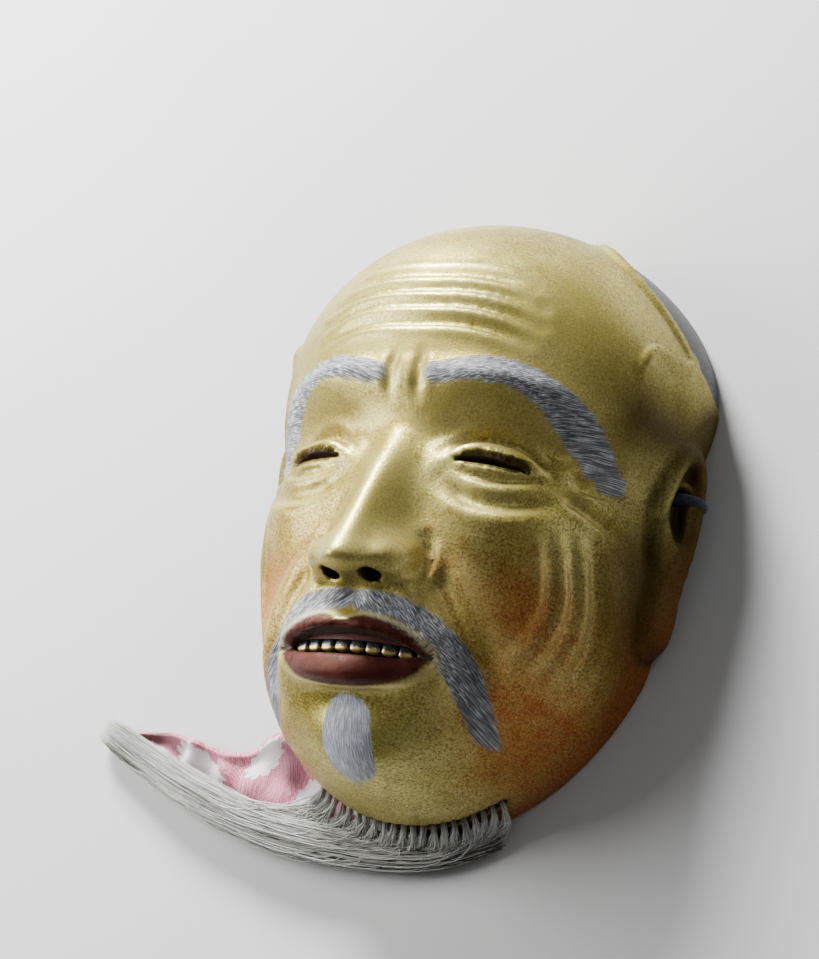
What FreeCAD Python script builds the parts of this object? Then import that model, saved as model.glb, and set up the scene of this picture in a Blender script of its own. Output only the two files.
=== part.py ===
"""A noh mask of an old man, laid on its back beside the cloth that carries its beard.

The mask is a hollow cypress shell with pierced eyes, nostrils and mouth. A row of hair tufts is wedged
into holes along the chin and runs into one long lock of hair. A silk cord leaves each ear, goes round the
edge of the mask and under it, and lies coiled in the hollow back.

Frame: Z = 0 is the plane the rim stands on, +Z leaves the face, +Y runs up to the crown and +X is at the
mask's left ear. The origin is in the middle of the open back. Units are millimetres and degrees.
"""

import FreeCAD
import Part
import functools
import math
import os
from FreeCAD import Placement, Rotation, Vector

PARTS_FOLDER = "parts"
SIDES = {"left": 1, "right": -1}
ALL_ROUND = 360
FORMS = ("skull", "face", "jaw")
OUTSIDE_GRID = (51, 61)
HOLLOW_GRID = (31, 37)
GRID_REACH = 100
GRID_CLOSENESS = 0.65

# alias, value, what it is
DIMENSIONS = [
    ("wall", 8, "thickness of the carved wall"),
    ("middle_down", 20, "point the face is spread out from, below the origin"),
    ("blend", 5, "how softly the skull, face and jaw run into each other"),
    ("fade", 30, "height over which the features grow from the rim upwards"),
    ("skull_x", 74, "skull: half width"),
    ("skull_y", 68, "skull: half height"),
    ("skull_z", 80, "skull: depth"),
    ("skull_up", 40, "skull: centre above the origin"),
    ("skull_out", 0, "skull: centre above the rest plane"),
    ("face_x", 69, "face: half width"),
    ("face_y", 80, "face: half height"),
    ("face_z", 76, "face: depth"),
    ("face_up", -14, "face: centre above the origin"),
    ("face_out", 0, "face: centre above the rest plane"),
    ("jaw_x", 48, "jaw: half width"),
    ("jaw_y", 47, "jaw: half height"),
    ("jaw_z", 58, "jaw: half depth"),
    ("jaw_up", -52, "jaw: centre above the origin"),
    ("jaw_out", 22, "jaw: centre above the rest plane"),
    ("nose_top", 14, "nose: its root above the origin"),
    ("nose_base", -40.5, "nose: its underside above the origin"),
    ("nose_rise", 23, "nose: how far the tip stands out"),
    ("nose_root_x", 6.5, "nose: half width at the root"),
    ("nose_tip_x", 9.5, "nose: half width at the tip"),
    ("nose_edge", 1.5, "nose: how softly its underside ends"),
    ("eye_side", 30, "eye slit: centre from the middle"),
    ("eye_up", 1, "eye slit: centre above the origin"),
    ("eye_out", 57, "eye slit: centre above the rest plane"),
    ("slit_x", 11.5, "eye slit: half width"),
    ("slit_y", 1.6, "eye slit: half height"),
    ("nostril_side", 6.5, "nostril: centre from the middle"),
    ("nostril_down", 44, "nostril: outer end below the origin"),
    ("nostril_out", 88, "nostril: outer end above the rest plane"),
    ("nostril_radius", 3, "nostril: radius"),
    ("nostril_length", 45, "nostril: length of the drilling"),
    ("nostril_tilt", 142, "nostril: lean of the drilling from +Z towards +Y"),
    ("mouth_down", 62, "mouth: centre below the origin"),
    ("mouth_x", 21, "mouth opening: half width"),
    ("mouth_y", 3.6, "mouth opening: half height"),
    ("mouth_out", 74, "mouth opening: centre above the rest plane"),
    ("cut_depth", 34, "half depth of the cuts that pierce the wall"),
    ("nose_hollow_x", 12, "hollow behind the nose: half width"),
    ("nose_hollow_y", 20, "hollow behind the nose: half height"),
    ("nose_hollow_z", 16, "hollow behind the nose: half depth"),
    ("nose_hollow_down", 24, "hollow behind the nose: centre below the origin"),
    ("nose_hollow_out", 66, "hollow behind the nose: centre above the rest plane"),
    ("ear_side", 66, "ear: centre from the middle"),
    ("ear_down", 4, "ear: centre below the origin"),
    ("ear_out", 5, "ear: centre above the rest plane"),
    ("ear_x", 9, "ear: how far it stands out"),
    ("ear_y", 34, "ear: half height"),
    ("ear_z", 18, "ear: half depth"),
    ("shell_side", 77, "hollow of the ear: centre from the middle"),
    ("shell_up", 9, "hollow of the ear: centre above the origin"),
    ("shell_out", 14.5, "hollow of the ear: centre above the rest plane"),
    ("shell_x", 8, "hollow of the ear: half width"),
    ("shell_y", 17, "hollow of the ear: half height"),
    ("shell_z", 6.5, "hollow of the ear: half depth"),
    ("arch_up", 2, "arch in the side of the rim: its middle above the origin"),
    ("arch_rise", 8, "arch in the side of the rim: its height"),
    ("arch_radius", 130, "arch in the side of the rim: its radius"),
    ("hole_up", 14, "cord hole: above the origin"),
    ("hole_out", 15, "cord hole: above the rest plane"),
    ("hole_radius", 2.6, "cord hole: radius"),
    ("cord_radius", 1.8, "cord: radius"),
    ("cord_low", 2, "cord: centreline above the rest plane where it lies down"),
    ("loop_side", 75.5, "cord: furthest corner of its loop round the ear"),
    ("knot_side", 55, "stop knot: centre from the middle"),
    ("knot_radius", 4.2, "stop knot: radius"),
    ("coil_side", 31, "coil: centre from the middle"),
    ("coil_radius", 20, "coil: middle of its turns"),
    ("coil_thick", 5.5, "coil: half thickness of the bundle of turns"),
    ("coil_out", 5.7, "coil: centre above the rest plane"),
    ("end_radius", 2.8, "knot at the cord's free end: radius"),
    ("gum_axis_out", 31.5, "upper gum: axis of its arc above the rest plane"),
    ("gum_outer", 45.5, "upper gum: outer radius"),
    ("gum_inner", 42.5, "upper gum: inner radius"),
    ("gum_top_down", 50, "upper gum: upper edge below the origin"),
    ("gum_height", 10, "upper gum: height"),
    ("gum_angle", 54, "upper gum: angle of its arc"),
    ("tooth_height", 3.4, "tooth: height"),
    ("tooth_set_back", 0.2, "tooth: how far it stands inside the gum"),
    ("tooth_angle", 6, "tooth: angle of its arc"),
    ("tooth_pitch", 6.5, "tooth: angle from one to the next"),
    ("tooth_count", 8, "teeth in the upper row"),
    ("tuft_count", 21, "hair tufts in the chin"),
    ("tuft_span", 24, "tufts: angle of the last one from the middle of the chin"),
    ("tuft_tilt", 78, "tufts: angle of their row from +Z, seen from the face's middle"),
    ("tuft_fall", 35, "tufts: lean towards the rest plane"),
    ("tuft_hole_radius", 1.4, "tuft hole: radius"),
    ("tuft_hole_depth", 6.5, "tuft hole: depth"),
    ("tuft_root_radius", 0.85, "tuft: radius in its hole"),
    ("tuft_root_shift", 0.45, "tuft: off the middle of its hole"),
    ("tuft_length", 11, "tuft: length outside its hole"),
    ("tuft_end_radius", 1.7, "tuft: radius at its free end"),
    ("wedge_radius", 0.4, "bamboo wedge: radius"),
    ("wedge_shift", 0.92, "bamboo wedge: off the middle of its hole"),
    ("wedge_length", 5.5, "bamboo wedge: length"),
    ("cloth_thick", 1.2, "cloth: thickness where it lies flat"),
]

# Soft bumps and hollows of the face: from the middle, above the origin, half width, half height, depth.
FEATURES = {
    "brow": (27, 24, 20, 6.5, 5.5),
    "eye_socket": (30, 9, 17, 8, -5),
    "eyelid": (30, 3, 13, 6.5, 5.5),
    "cheekbone": (38, -16, 15, 13, 4.5),
    "nose_wing": (11.5, -34, 5.5, 6, 8),
    "upper_lip": (0, -56.5, 19, 4.6, 5.5),
    "lower_lip": (0, -68.5, 17, 4.8, 5.5),
    "fold_under_lip": (0, -77.5, 16, 5, -2.5),
    "chin": (0, -88, 17, 9, 5),
}

# The lock of hair, which lies on the cloth: its middle, then its half width and its half height.
LOCK_STATIONS = [
    (28, -98, 2.3, 2.2),
    (16, -104, 3.6, 3.4),
    (0, -107, 4.9, 4.7),
    (-20, -107.5, 5.6, 5.4),
    (-44, -105.5, 6.2, 5.8),
    (-68, -100.5, 6.2, 5.4),
    (-90, -92.5, 5.6, 4.8),
    (-110, -83.5, 4.6, 4.0),
    (-127, -74.5, 3.0, 2.8),
]

# The cloth's outline, corner by corner, on the rest plane.
CLOTH_OUTLINE = [
    (26, -95.2),
    (14, -99.5),
    (-4, -101),
    (-24, -97),
    (-44, -82),
    (-53, -70),
    (-60, -71),
    (-69, -79),
    (-84, -78),
    (-98, -73),
    (-113, -73),
    (-121, -79),
    (-106, -88),
    (-86, -97),
    (-60, -105),
    (-30, -109.5),
    (0, -109),
    (21, -103),
]

document = FreeCAD.newDocument("NohMask")
sheet = document.addObject("Spreadsheet::Sheet", "Dimensions")
labels = {}


def fill_sheet():
    """Writes each driving dimension to a row of the sheet and gives its cell an alias."""
    for row, (alias, value, meaning) in enumerate(DIMENSIONS, start=1):
        sheet.set(f"A{row}", meaning)
        sheet.set(f"B{row}", str(value))
        sheet.setAlias(f"B{row}", alias)
    document.recompute()


@functools.cache
def size(alias):
    """The value of a driving dimension."""
    return float(sheet.get(alias))


def cell(expression):
    """The expression with every alias turned into a reference to the sheet."""
    names = {alias for alias, _, _ in DIMENSIONS}
    words = str(expression).split()
    return " ".join(f"Dimensions.{word}" if word in names else word for word in words)


def bind(part, **properties):
    """Ties properties to the sheet. A name such as Placement_Base_x stands for Placement.Base.x."""
    for name, expression in properties.items():
        part.setExpression(name.replace("_", "."), cell(expression))
    return part


def placed(part, x, y, z):
    return bind(part, Placement_Base_x=x, Placement_Base_y=y, Placement_Base_z=z)


def ellipsoid(name, centre, radii):
    """A whole ellipsoid. The centre and radii are expressions in the sheet's aliases."""
    part = document.addObject("Part::Ellipsoid", name)
    part.Angle1, part.Angle2, part.Angle3 = -90, 90, ALL_ROUND
    bind(part, Radius2=radii[0], Radius3=radii[1], Radius1=radii[2])
    return placed(part, *centre)


def cylinder(name, radius, height):
    part = document.addObject("Part::Cylinder", name)
    return bind(part, Radius=radius, Height=height)


def fused(name, parts):
    part = document.addObject("Part::MultiFuse", name)
    part.Shapes = parts
    return part


def cut(name, base, tool):
    part = document.addObject("Part::Cut", name)
    part.Base, part.Tool = base, tool
    return part


def compound(name, parts):
    part = document.addObject("Part::Compound", name)
    part.Links = parts
    return part


def mirrored(name, source):
    """The source's image on the other side of the mask."""
    part = document.addObject("Part::Mirroring", name)
    part.Source, part.Base, part.Normal = source, Vector(0, 0, 0), Vector(1, 0, 0)
    return part


def node(part, label):
    """Marks a finished sub-part, whose label names its file."""
    part.Label = label
    labels[label] = part
    return part


# ---------------------------------------------------------------- shell


def pair(name, side_of, radii):
    """The same ellipsoid on both sides. The three expressions of side_of give the left one's centre."""
    x, y, z = side_of
    return [
        ellipsoid(f"{side}_{name}", (f"{sign} * {x}", y, z), radii)
        for side, sign in SIDES.items()
    ]


def exit_depth(direction, form, shrink):
    """How far one ellipsoid, made smaller all round by shrink, reaches from the face's middle."""
    centre = (0, size(f"{form}_up") + size("middle_down"), size(f"{form}_out"))
    radii = [size(f"{form}_{axis}") - shrink for axis in "xyz"]
    steps = [part / radius for part, radius in zip(direction, radii)]
    starts = [-part / radius for part, radius in zip(centre, radii)]
    square = sum(step * step for step in steps)
    slope = sum(step * start for step, start in zip(steps, starts))
    rest = sum(start * start for start in starts) - 1
    return (math.sqrt(slope * slope - square * rest) - slope) / square


def head_depth(direction, shrink):
    """How far the blended skull, face and jaw reach in a direction."""
    depths = [exit_depth(direction, form, shrink) for form in FORMS]
    deepest, soft = max(depths), size("blend")
    return deepest + soft * math.log(sum(math.exp((depth - deepest) / soft) for depth in depths))


def nose_rise(x, y):
    """How far the nose stands out. It climbs from its root to its tip and ends in a soft step."""
    top, base = size("nose_top"), size("nose_base")
    along = min(max((top - y) / (top - base), 0), 1)
    half_width = size("nose_root_x") + along * (size("nose_tip_x") - size("nose_root_x"))
    underside = 1 / (1 + math.exp((base - y) / size("nose_edge")))
    return size("nose_rise") * along**1.2 * underside * math.exp(-((x / half_width) ** 2))


def feature_rise(x, y):
    """How far all the features together stand out of the head at a place on the face."""
    rise = nose_rise(x, y)
    for side, up, half_width, half_height, out in FEATURES.values():
        across = math.exp(-(((abs(x) - side) / half_width) ** 2))
        if side:
            across += math.exp(-(((abs(x) + side) / half_width) ** 2))
        rise += out * across * math.exp(-(((y - up) / half_height) ** 2))
    return rise


def form_point(direction, shrink=0.0, with_features=True):
    """The point of the head's surface in a direction from the face's middle."""
    middle = Vector(0, -size("middle_down"), 0)
    depth = head_depth(direction, shrink)
    place = middle + direction * depth
    if with_features:
        share = min(max(place.z / size("fade"), 0), 1)
        depth += feature_rise(place.x, place.y) * share * share * (3 - 2 * share)
    return middle + direction * depth


def grid_angles(count):
    """Angles from the middle line, closer together in the middle than at the ends."""
    steps = [2 * index / (count - 1) - 1 for index in range(count)]
    return [math.radians(GRID_REACH) * (GRID_CLOSENESS * s + (1 - GRID_CLOSENESS) * s**3) for s in steps]


def spread(across, up):
    """The direction reached by turning away from +Z by the length of (across, up)."""
    turn = math.hypot(across, up)
    share = math.sin(turn) / turn if turn else 1
    return Vector(across * share, up * share, math.cos(turn))


def form_solid(name, grid, shrink, with_features):
    """A smooth surface through a grid of points, cut off at the rest plane and closed there."""
    rows = [
        [form_point(spread(across, up), shrink, with_features) for up in grid_angles(grid[1])]
        for across in grid_angles(grid[0])
    ]
    surface = Part.BSplineSurface()
    surface.interpolate(rows)
    reach = 4 * size("skull_x")
    below = Part.makeBox(reach, reach, reach, Vector(-reach / 2, -reach / 2, -reach))
    skin = surface.toShape().cut(below)
    cap = Part.Face(Part.Plane(Vector(0, 0, 0), Vector(0, 0, 1)), Part.Wire(skin.Edges))
    cap.reverse()
    part = document.addObject("Part::Feature", name)
    part.Shape = Part.Solid(Part.Shell([*skin.Faces, cap]))
    return part


def openings():
    """Eye slits, nostrils, mouth, the hollows of the ears and the cord holes."""
    slits = pair("slit", ("eye_side", "eye_up", "eye_out"), ("slit_x", "slit_y", "cut_depth"))
    mouth = ellipsoid("mouth", (0, "- mouth_down", "mouth_out"), ("mouth_x", "mouth_y", "cut_depth"))
    hollow_place = ("shell_side", "shell_up", "shell_out")
    ear_hollows = pair("ear_hollow", hollow_place, ("shell_x", "shell_y", "shell_z"))
    drillings = []
    for side, sign in SIDES.items():
        nostril = cylinder(f"{side}_nostril", "nostril_radius", "nostril_length")
        nostril.Placement.Rotation = Rotation(Vector(-1, 0, 0), size("nostril_tilt"))
        placed(nostril, f"{sign} * nostril_side", "- nostril_down", "nostril_out")
        cord_hole = cylinder(f"{side}_cord_hole", "hole_radius", "ear_side")
        cord_hole.Placement.Rotation = Rotation(Vector(0, 1, 0), 90 * sign)
        placed(cord_hole, f"{sign} * ( knot_side - knot_radius )", "hole_up", "hole_out")
        drillings += [nostril, cord_hole]
    return [*ear_hollows, *slits, mouth, *drillings]


def side_arch():
    """The arch in each side of the rim that lets the cords pass under the mask."""
    reach = 4 * size("skull_x")
    arch = cylinder("side_arch", "arch_radius", reach)
    arch.Placement.Rotation = Rotation(Vector(0, 1, 0), 90)
    return placed(arch, -reach / 2, "arch_up", "arch_rise - arch_radius")


def shell(mouth_pieces):
    """The carved mask. Each cut is a step of its own, and the mouth pieces get fitting seats."""
    ears = pair("ear", ("ear_side", "- ear_down", "ear_out"), ("ear_x", "ear_y", "ear_z"))
    whole = fused("head_and_ears", [form_solid("head", OUTSIDE_GRID, 0, True), *ears])
    nose_hollow = ellipsoid(
        "nose_hollow",
        (0, "- nose_hollow_down", "nose_hollow_out"),
        ("nose_hollow_x", "nose_hollow_y", "nose_hollow_z"),
    )
    hollow = form_solid("hollow", HOLLOW_GRID, size("wall"), False)
    carved = whole
    chin_holes = fused("tuft_holes", tuft_holes())
    tools = [hollow, nose_hollow, side_arch(), *openings(), chin_holes, *mouth_pieces]
    for tool in tools:
        carved = cut(f"shell_without_{tool.Name}", carved, tool)
    node(carved, "mask_shell")


# ---------------------------------------------------------------- hair


def tuft_roots():
    """Where each tuft leaves the jaw and which way it points, from the right side to the left."""
    count, span = int(size("tuft_count")), size("tuft_span")
    tilt, fall = math.radians(size("tuft_tilt")), math.radians(size("tuft_fall"))
    roots = []
    for index in range(count):
        turn = math.radians(span * (2 * index / (count - 1) - 1))
        outward = Vector(math.sin(turn), -math.cos(turn), 0)
        point = form_point(outward * math.sin(tilt) + Vector(0, 0, math.cos(tilt)))
        roots.append((point, outward * math.cos(fall) - Vector(0, 0, math.sin(fall))))
    return roots


def along(point, direction, shift=0.0):
    """A placement that puts +Z along the direction, moved sideways within the plane across it."""
    turn = Rotation(Vector(0, 0, 1), direction)
    return Placement(point + turn.multVec(Vector(0, shift, 0)), turn)


def tuft_holes():
    holes = []
    for index, (point, direction) in enumerate(tuft_roots(), start=1):
        hole = cylinder(f"tuft_hole_{index:02d}", "tuft_hole_radius", "2 * tuft_hole_depth")
        hole.Placement = along(point - direction * size("tuft_hole_depth"), direction)
        holes.append(hole)
    return holes


def tufts(lock):
    """Each bundle of horsehair: a plain rod in its hole, which widens outside and ends on the lock."""
    for index, (point, direction) in enumerate(tuft_roots(), start=1):
        root = cylinder(f"tuft_root_{index:02d}", "tuft_root_radius", "tuft_hole_depth")
        start = point - direction * size("tuft_hole_depth")
        root.Placement = along(start, direction, size("tuft_root_shift"))
        spray = document.addObject("Part::Cone", f"tuft_spray_{index:02d}")
        bind(spray, Radius1="tuft_root_radius", Radius2="tuft_end_radius", Height="tuft_length")
        spray.Placement = along(point, direction, size("tuft_root_shift"))
        whole = fused(f"tuft_{index:02d}", [root, spray])
        node(cut(f"tuft_{index:02d}_on_lock", whole, lock), f"beard_tuft_{index:02d}")


def wedges():
    """The bamboo wedges that hold the tufts in their holes."""
    made = []
    for index, (point, direction) in enumerate(tuft_roots(), start=1):
        wedge = cylinder(f"wedge_{index:02d}", "wedge_radius", "wedge_length")
        start = point - direction * size("tuft_hole_depth")
        wedge.Placement = along(start, direction, -size("wedge_shift"))
        made.append(wedge)
    node(compound("wedges", made), "tuft_wedges")


def beard_lock():
    """The long lock that the tufts run into, lofted through one ellipse at each station."""
    middles = [Vector(x, y, size("cloth_thick") + half_height) for x, y, _, half_height in LOCK_STATIONS]
    rings = []
    for index, (_, _, half_width, half_height) in enumerate(LOCK_STATIONS):
        before, after = middles[max(index - 1, 0)], middles[min(index + 1, len(middles) - 1)]
        forward = (after - before).normalize()
        across = forward.cross(Vector(0, 0, 1)).normalize()
        ring = document.addObject("Part::Ellipse", f"lock_ring_{index + 1}")
        ring.MajorRadius, ring.MinorRadius = half_width, half_height
        turn = Rotation(across, across.cross(forward), forward, "ZXY")
        ring.Placement = Placement(middles[index], turn)
        rings.append(ring)
    lock = document.addObject("Part::Loft", "lock")
    lock.Sections, lock.Solid, lock.Ruled = rings, True, False
    return node(lock, "beard_lock")


# ---------------------------------------------------------------- mouth


def arc_block(name, outer, inner, height, angle, middle):
    """A piece of a ring round Y. The middle of the piece is turned by that angle from +Z."""
    outside = cylinder(f"{name}_outer", outer, height)
    ring = cut(f"{name}_ring", outside, cylinder(f"{name}_inner", inner, height))
    ring.Base.Angle = ring.Tool.Angle = angle
    lay = Rotation(Vector(1, 0, 0), 90)
    swing = Rotation(Vector(0, 1, 0), angle / 2 - middle - 90)
    ring.Placement.Rotation = swing.multiply(lay)
    return ring


def gum():
    block = arc_block("gum", "gum_outer", "gum_inner", "gum_height", size("gum_angle"), 0)
    placed(block, 0, "- gum_top_down", "gum_axis_out")
    return node(block, "upper_gum")


def teeth():
    count, pitch = int(size("tooth_count")), size("tooth_pitch")
    row = []
    for index in range(count):
        tooth = arc_block(
            f"tooth_{index + 1}",
            "gum_outer - tooth_set_back",
            "gum_inner + tooth_set_back",
            "tooth_height",
            size("tooth_angle"),
            pitch * (index - (count - 1) / 2),
        )
        row.append(placed(tooth, 0, "- gum_top_down - gum_height", "gum_axis_out"))
    return node(compound("teeth", row), "upper_teeth")


# ---------------------------------------------------------------- cords


def cord_route():
    """The left cord's corners from its stop knot, round the ear and under the rim, to its coil."""
    up, low, loop = size("hole_up"), size("cord_low"), size("loop_side")
    return [
        Vector(size("knot_side"), up, size("hole_out")),
        Vector(loop, up, size("hole_out")),
        Vector(loop, up, low),
        Vector(58, 17, low),
        Vector(size("coil_side"), up, size("coil_out")),
    ]


def rounded_wire(corners, share=0.45):
    """Straight runs joined by tangent arcs, each as large as its two runs allow."""
    edges, start = [], corners[0]
    for before, corner, after in zip(corners, corners[1:], corners[2:]):
        back, ahead = (before - corner), (after - corner)
        cut_back = share * min(back.Length, ahead.Length)
        half_turn = (math.pi - back.getAngle(ahead)) / 2
        radius = cut_back / math.tan(half_turn)
        print(f"cord arc: radius {radius:.1f} mm, turn {math.degrees(2 * half_turn):.0f} degrees")
        back.normalize()
        ahead.normalize()
        first, last = corner + back * cut_back, corner + ahead * cut_back
        inward = (back + ahead).normalize()
        centre = corner + inward * (radius / math.cos(half_turn))
        edges.append(Part.LineSegment(start, first).toShape())
        edges.append(Part.Arc(first, centre - inward * radius, last).toShape())
        start = last
    edges.append(Part.LineSegment(start, corners[-1]).toShape())
    return Part.Wire(edges)


def cord():
    """The left cord, its stop knot, its coil and the knot at its free end, with their mirror images."""
    knot = ellipsoid("stop_knot", ("knot_side", "hole_up", "hole_out"), ("knot_radius",) * 3)
    coil_up = f"( hole_up + {size('coil_radius')} )"
    coil = document.addObject("Part::Torus", "coil")
    bind(coil, Radius1="coil_radius", Radius2="coil_thick")
    placed(coil, "coil_side", coil_up, "coil_out")
    route = document.addObject("Part::Feature", "cord_route")
    route.Shape = rounded_wire(cord_route())
    section = document.addObject("Part::Circle", "cord_section")
    bind(section, Radius="cord_radius")
    section.Placement.Rotation = Rotation(Vector(0, 1, 0), 90)
    placed(section, "knot_side", "hole_up", "hole_out")
    tube = document.addObject("Part::Sweep", "cord_tube")
    edges = [f"Edge{number + 1}" for number in range(len(route.Shape.Edges))]
    tube.Sections, tube.Spine = [section], (route, edges)
    tube.Solid, tube.Frenet = True, False
    free = cut("cord_between", tube, fused("cord_ends", [knot, coil]))
    end_ball = ellipsoid(
        "end_ball",
        ("coil_side - coil_radius", coil_up, "coil_out + coil_thick + end_radius - 1"),
        ("end_radius",) * 3,
    )
    end_knot = cut("end_knot", end_ball, coil)
    for part, name in ((knot, "stop_knot"), (coil, "cord_coil"), (free, "cord"), (end_knot, "end_knot")):
        node(part, f"left_{name}")
        node(mirrored(f"right_{name}", part), f"right_{name}")


# ---------------------------------------------------------------- cloth


def cloth():
    """The silk cloth as one flat pad with straight sides."""
    body = document.addObject("PartDesign::Body", "cloth_body")
    sketch = body.newObject("Sketcher::SketchObject", "cloth_outline")
    floor = next(plane for plane in body.Origin.OriginFeatures if plane.Role == "XY_Plane")
    sketch.AttachmentSupport, sketch.MapMode = [(floor, "")], "FlatFace"
    corners = [Vector(x, y, 0) for x, y in CLOTH_OUTLINE]
    for start, end in zip(corners, corners[1:] + corners[:1]):
        sketch.addGeometry(Part.LineSegment(start, end), False)
    pad = body.newObject("PartDesign::Pad", "cloth_pad")
    pad.Profile = sketch
    bind(pad, Length="cloth_thick")
    node(body, "beard_cloth")


# ---------------------------------------------------------------- output


def problems():
    """Every object that failed, and every sub-part whose shape isn't one or more valid solids."""
    failed = [part.Name for part in document.Objects if {"Invalid", "Error"} & set(part.State)]
    unsound = [
        label
        for label, part in labels.items()
        if part.Shape.isNull() or not part.Shape.isValid() or not part.Shape.Solids
    ]
    return failed + unsound


def main():
    fill_sheet()
    shell([gum(), teeth()])
    tufts(beard_lock())
    wedges()
    cord()
    cloth()
    document.recompute()
    found = problems()
    if found:
        raise SystemExit(f"not built: {found}")
    os.makedirs(PARTS_FOLDER, exist_ok=True)
    for label, part in labels.items():
        part.Shape.exportStep(os.path.join(PARTS_FOLDER, f"{label}.step"))
        box = part.Shape.BoundBox
        solids, volume = len(part.Shape.Solids), part.Shape.Volume
        print(f"{label}: {solids} solid, {volume:.0f} mm3, Z {box.ZMin:.2f} to {box.ZMax:.2f}")


main()
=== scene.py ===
"""A noh mask of an old man, lying on its back with its horsehair beard swept over a silk cloth.

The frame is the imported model's, in metres. Shapes are worked out in millimetres and become metres when
they are made.
"""

import itertools
import math

import bpy
import numpy as np
from mathutils import Matrix, Vector


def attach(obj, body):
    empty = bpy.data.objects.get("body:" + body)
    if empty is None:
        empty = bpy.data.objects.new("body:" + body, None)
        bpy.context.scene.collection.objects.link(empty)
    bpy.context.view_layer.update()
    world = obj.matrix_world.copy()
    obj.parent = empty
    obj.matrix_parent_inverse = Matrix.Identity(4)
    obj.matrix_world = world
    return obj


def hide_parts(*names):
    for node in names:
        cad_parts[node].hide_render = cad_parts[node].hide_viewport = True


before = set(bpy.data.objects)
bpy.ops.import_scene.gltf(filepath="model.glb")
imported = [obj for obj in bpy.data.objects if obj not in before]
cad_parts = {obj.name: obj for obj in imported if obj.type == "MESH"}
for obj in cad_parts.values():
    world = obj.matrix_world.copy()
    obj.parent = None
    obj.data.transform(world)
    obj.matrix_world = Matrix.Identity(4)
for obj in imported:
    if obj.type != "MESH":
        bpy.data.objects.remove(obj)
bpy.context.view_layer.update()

MM = 0.001
SEED = 7
SIDES = {"left": 1, "right": -1}
random = np.random.default_rng(SEED)


# ---- shader nodes


class Shader:
    """One material with a Principled shader. A value that is a socket is linked, any other is a constant."""

    def __init__(self, name, **constants):
        self.material = bpy.data.materials.new(name)
        self.material.use_nodes = True
        self.tree = self.material.node_tree
        self.surface = self.tree.nodes["Principled BSDF"]
        self.finish(**constants)

    def node(self, kind, inputs=None, **settings):
        made = self.tree.nodes.new(f"ShaderNode{kind}")
        for name, value in settings.items():
            setattr(made, name, value)
        for socket, value in (inputs or {}).items():
            self.give(made.inputs[socket], value)
        return made

    def give(self, socket, value):
        if isinstance(value, bpy.types.NodeSocket):
            self.tree.links.new(value, socket)
        else:
            socket.default_value = (*value, 1.0) if socket.type == "RGBA" else value

    def place(self, scale=(1, 1, 1)):
        """The point in metres, stretched along each axis."""
        coordinates = self.node("TexCoord").outputs["Object"]
        return self.node("Mapping", {"Vector": coordinates, "Scale": scale}).outputs["Vector"]

    def attribute(self, name, output="Fac"):
        return self.node("Attribute", attribute_name=name).outputs[output]

    def noise(self, size_mm, detail=3.0, roughness=0.55, place=None):
        inputs = {"Vector": place or self.place(), "Scale": 1 / (size_mm * MM)}
        inputs |= {"Detail": detail, "Roughness": roughness}
        return self.node("TexNoise", inputs).outputs["Fac"]

    def math(self, operation, first, second):
        return self.node("Math", {0: first, 1: second}, operation=operation).outputs[0]

    def times(self, first, second):
        return self.math("MULTIPLY", first, second)

    def most(self, first, second):
        return self.math("MAXIMUM", first, second)

    def steps(self, value, low, high, to_low=0.0, to_high=1.0):
        """The value stretched so that low to high becomes to_low to to_high, with no overshoot."""
        inputs = {"Value": value, "From Min": low, "From Max": high, "To Min": to_low, "To Max": to_high}
        return self.node("MapRange", inputs, interpolation_type="SMOOTHSTEP").outputs["Result"]

    def mix(self, share, first, second, blend="MIX"):
        inputs = {0: share, 6: first, 7: second}
        return self.node("Mix", inputs, data_type="RGBA", blend_type=blend).outputs[2]

    def fade(self, value, low, high, first, second, top=1.0):
        """The first colour, which gains the share top of the second as the value goes from low to high."""
        return self.mix(self.steps(value, low, high, 0.0, top), first, second)

    def relief(self, *rows):
        """The normal after one bump for each row of height, depth in millimetres and strength."""
        normal = None
        for height, depth_mm, strength in rows:
            inputs = {"Height": height, "Distance": depth_mm * MM, "Strength": strength}
            if normal:
                inputs["Normal"] = normal
            normal = self.node("Bump", inputs).outputs["Normal"]
        return normal

    def finish(self, **sockets):
        for name, value in sockets.items():
            self.give(self.surface.inputs[name.replace("_", " ")], value)
        return self.material


# ---- meshes


def placed(name, data):
    made = bpy.data.objects.new(name, data)
    bpy.context.scene.collection.objects.link(made)
    return made


def piece(name, slot, nodes, points_mm, faces, attributes, *materials, material_index=None):
    """A smooth mesh that rides on the mask and takes the place of the nodes, from points in millimetres."""
    mesh = bpy.data.meshes.new(name)
    mesh.from_pydata((np.asarray(points_mm) * MM).reshape(-1, 3).tolist(), [], [list(face) for face in faces])
    for material in materials:
        mesh.materials.append(material)
    if material_index is not None:
        mesh.polygons.foreach_set("material_index", material_index)
    for key, values in attributes.items():
        is_vector = values.size == 3 * len(mesh.vertices)
        kind, field = ("FLOAT_VECTOR", "vector") if is_vector else ("FLOAT", "value")
        mesh.attributes.new(key, kind, "POINT").data.foreach_set(field, values.ravel())
    mesh.shade_smooth()
    mesh.update()
    made = placed(name, mesh)
    if nodes:
        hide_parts(*nodes)
    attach(made, "root")
    return made


def unit(vectors):
    return vectors / np.maximum(np.linalg.norm(vectors, axis=-1, keepdims=True), 1e-9)


def bell(distance, width):
    return np.exp(-((distance / width) ** 2))


def smoothstep(value):
    share = np.clip(value, 0, 1)
    return share * share * (3 - 2 * share)


def circle(count):
    return np.arange(count) * 2 * math.pi / count


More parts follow.
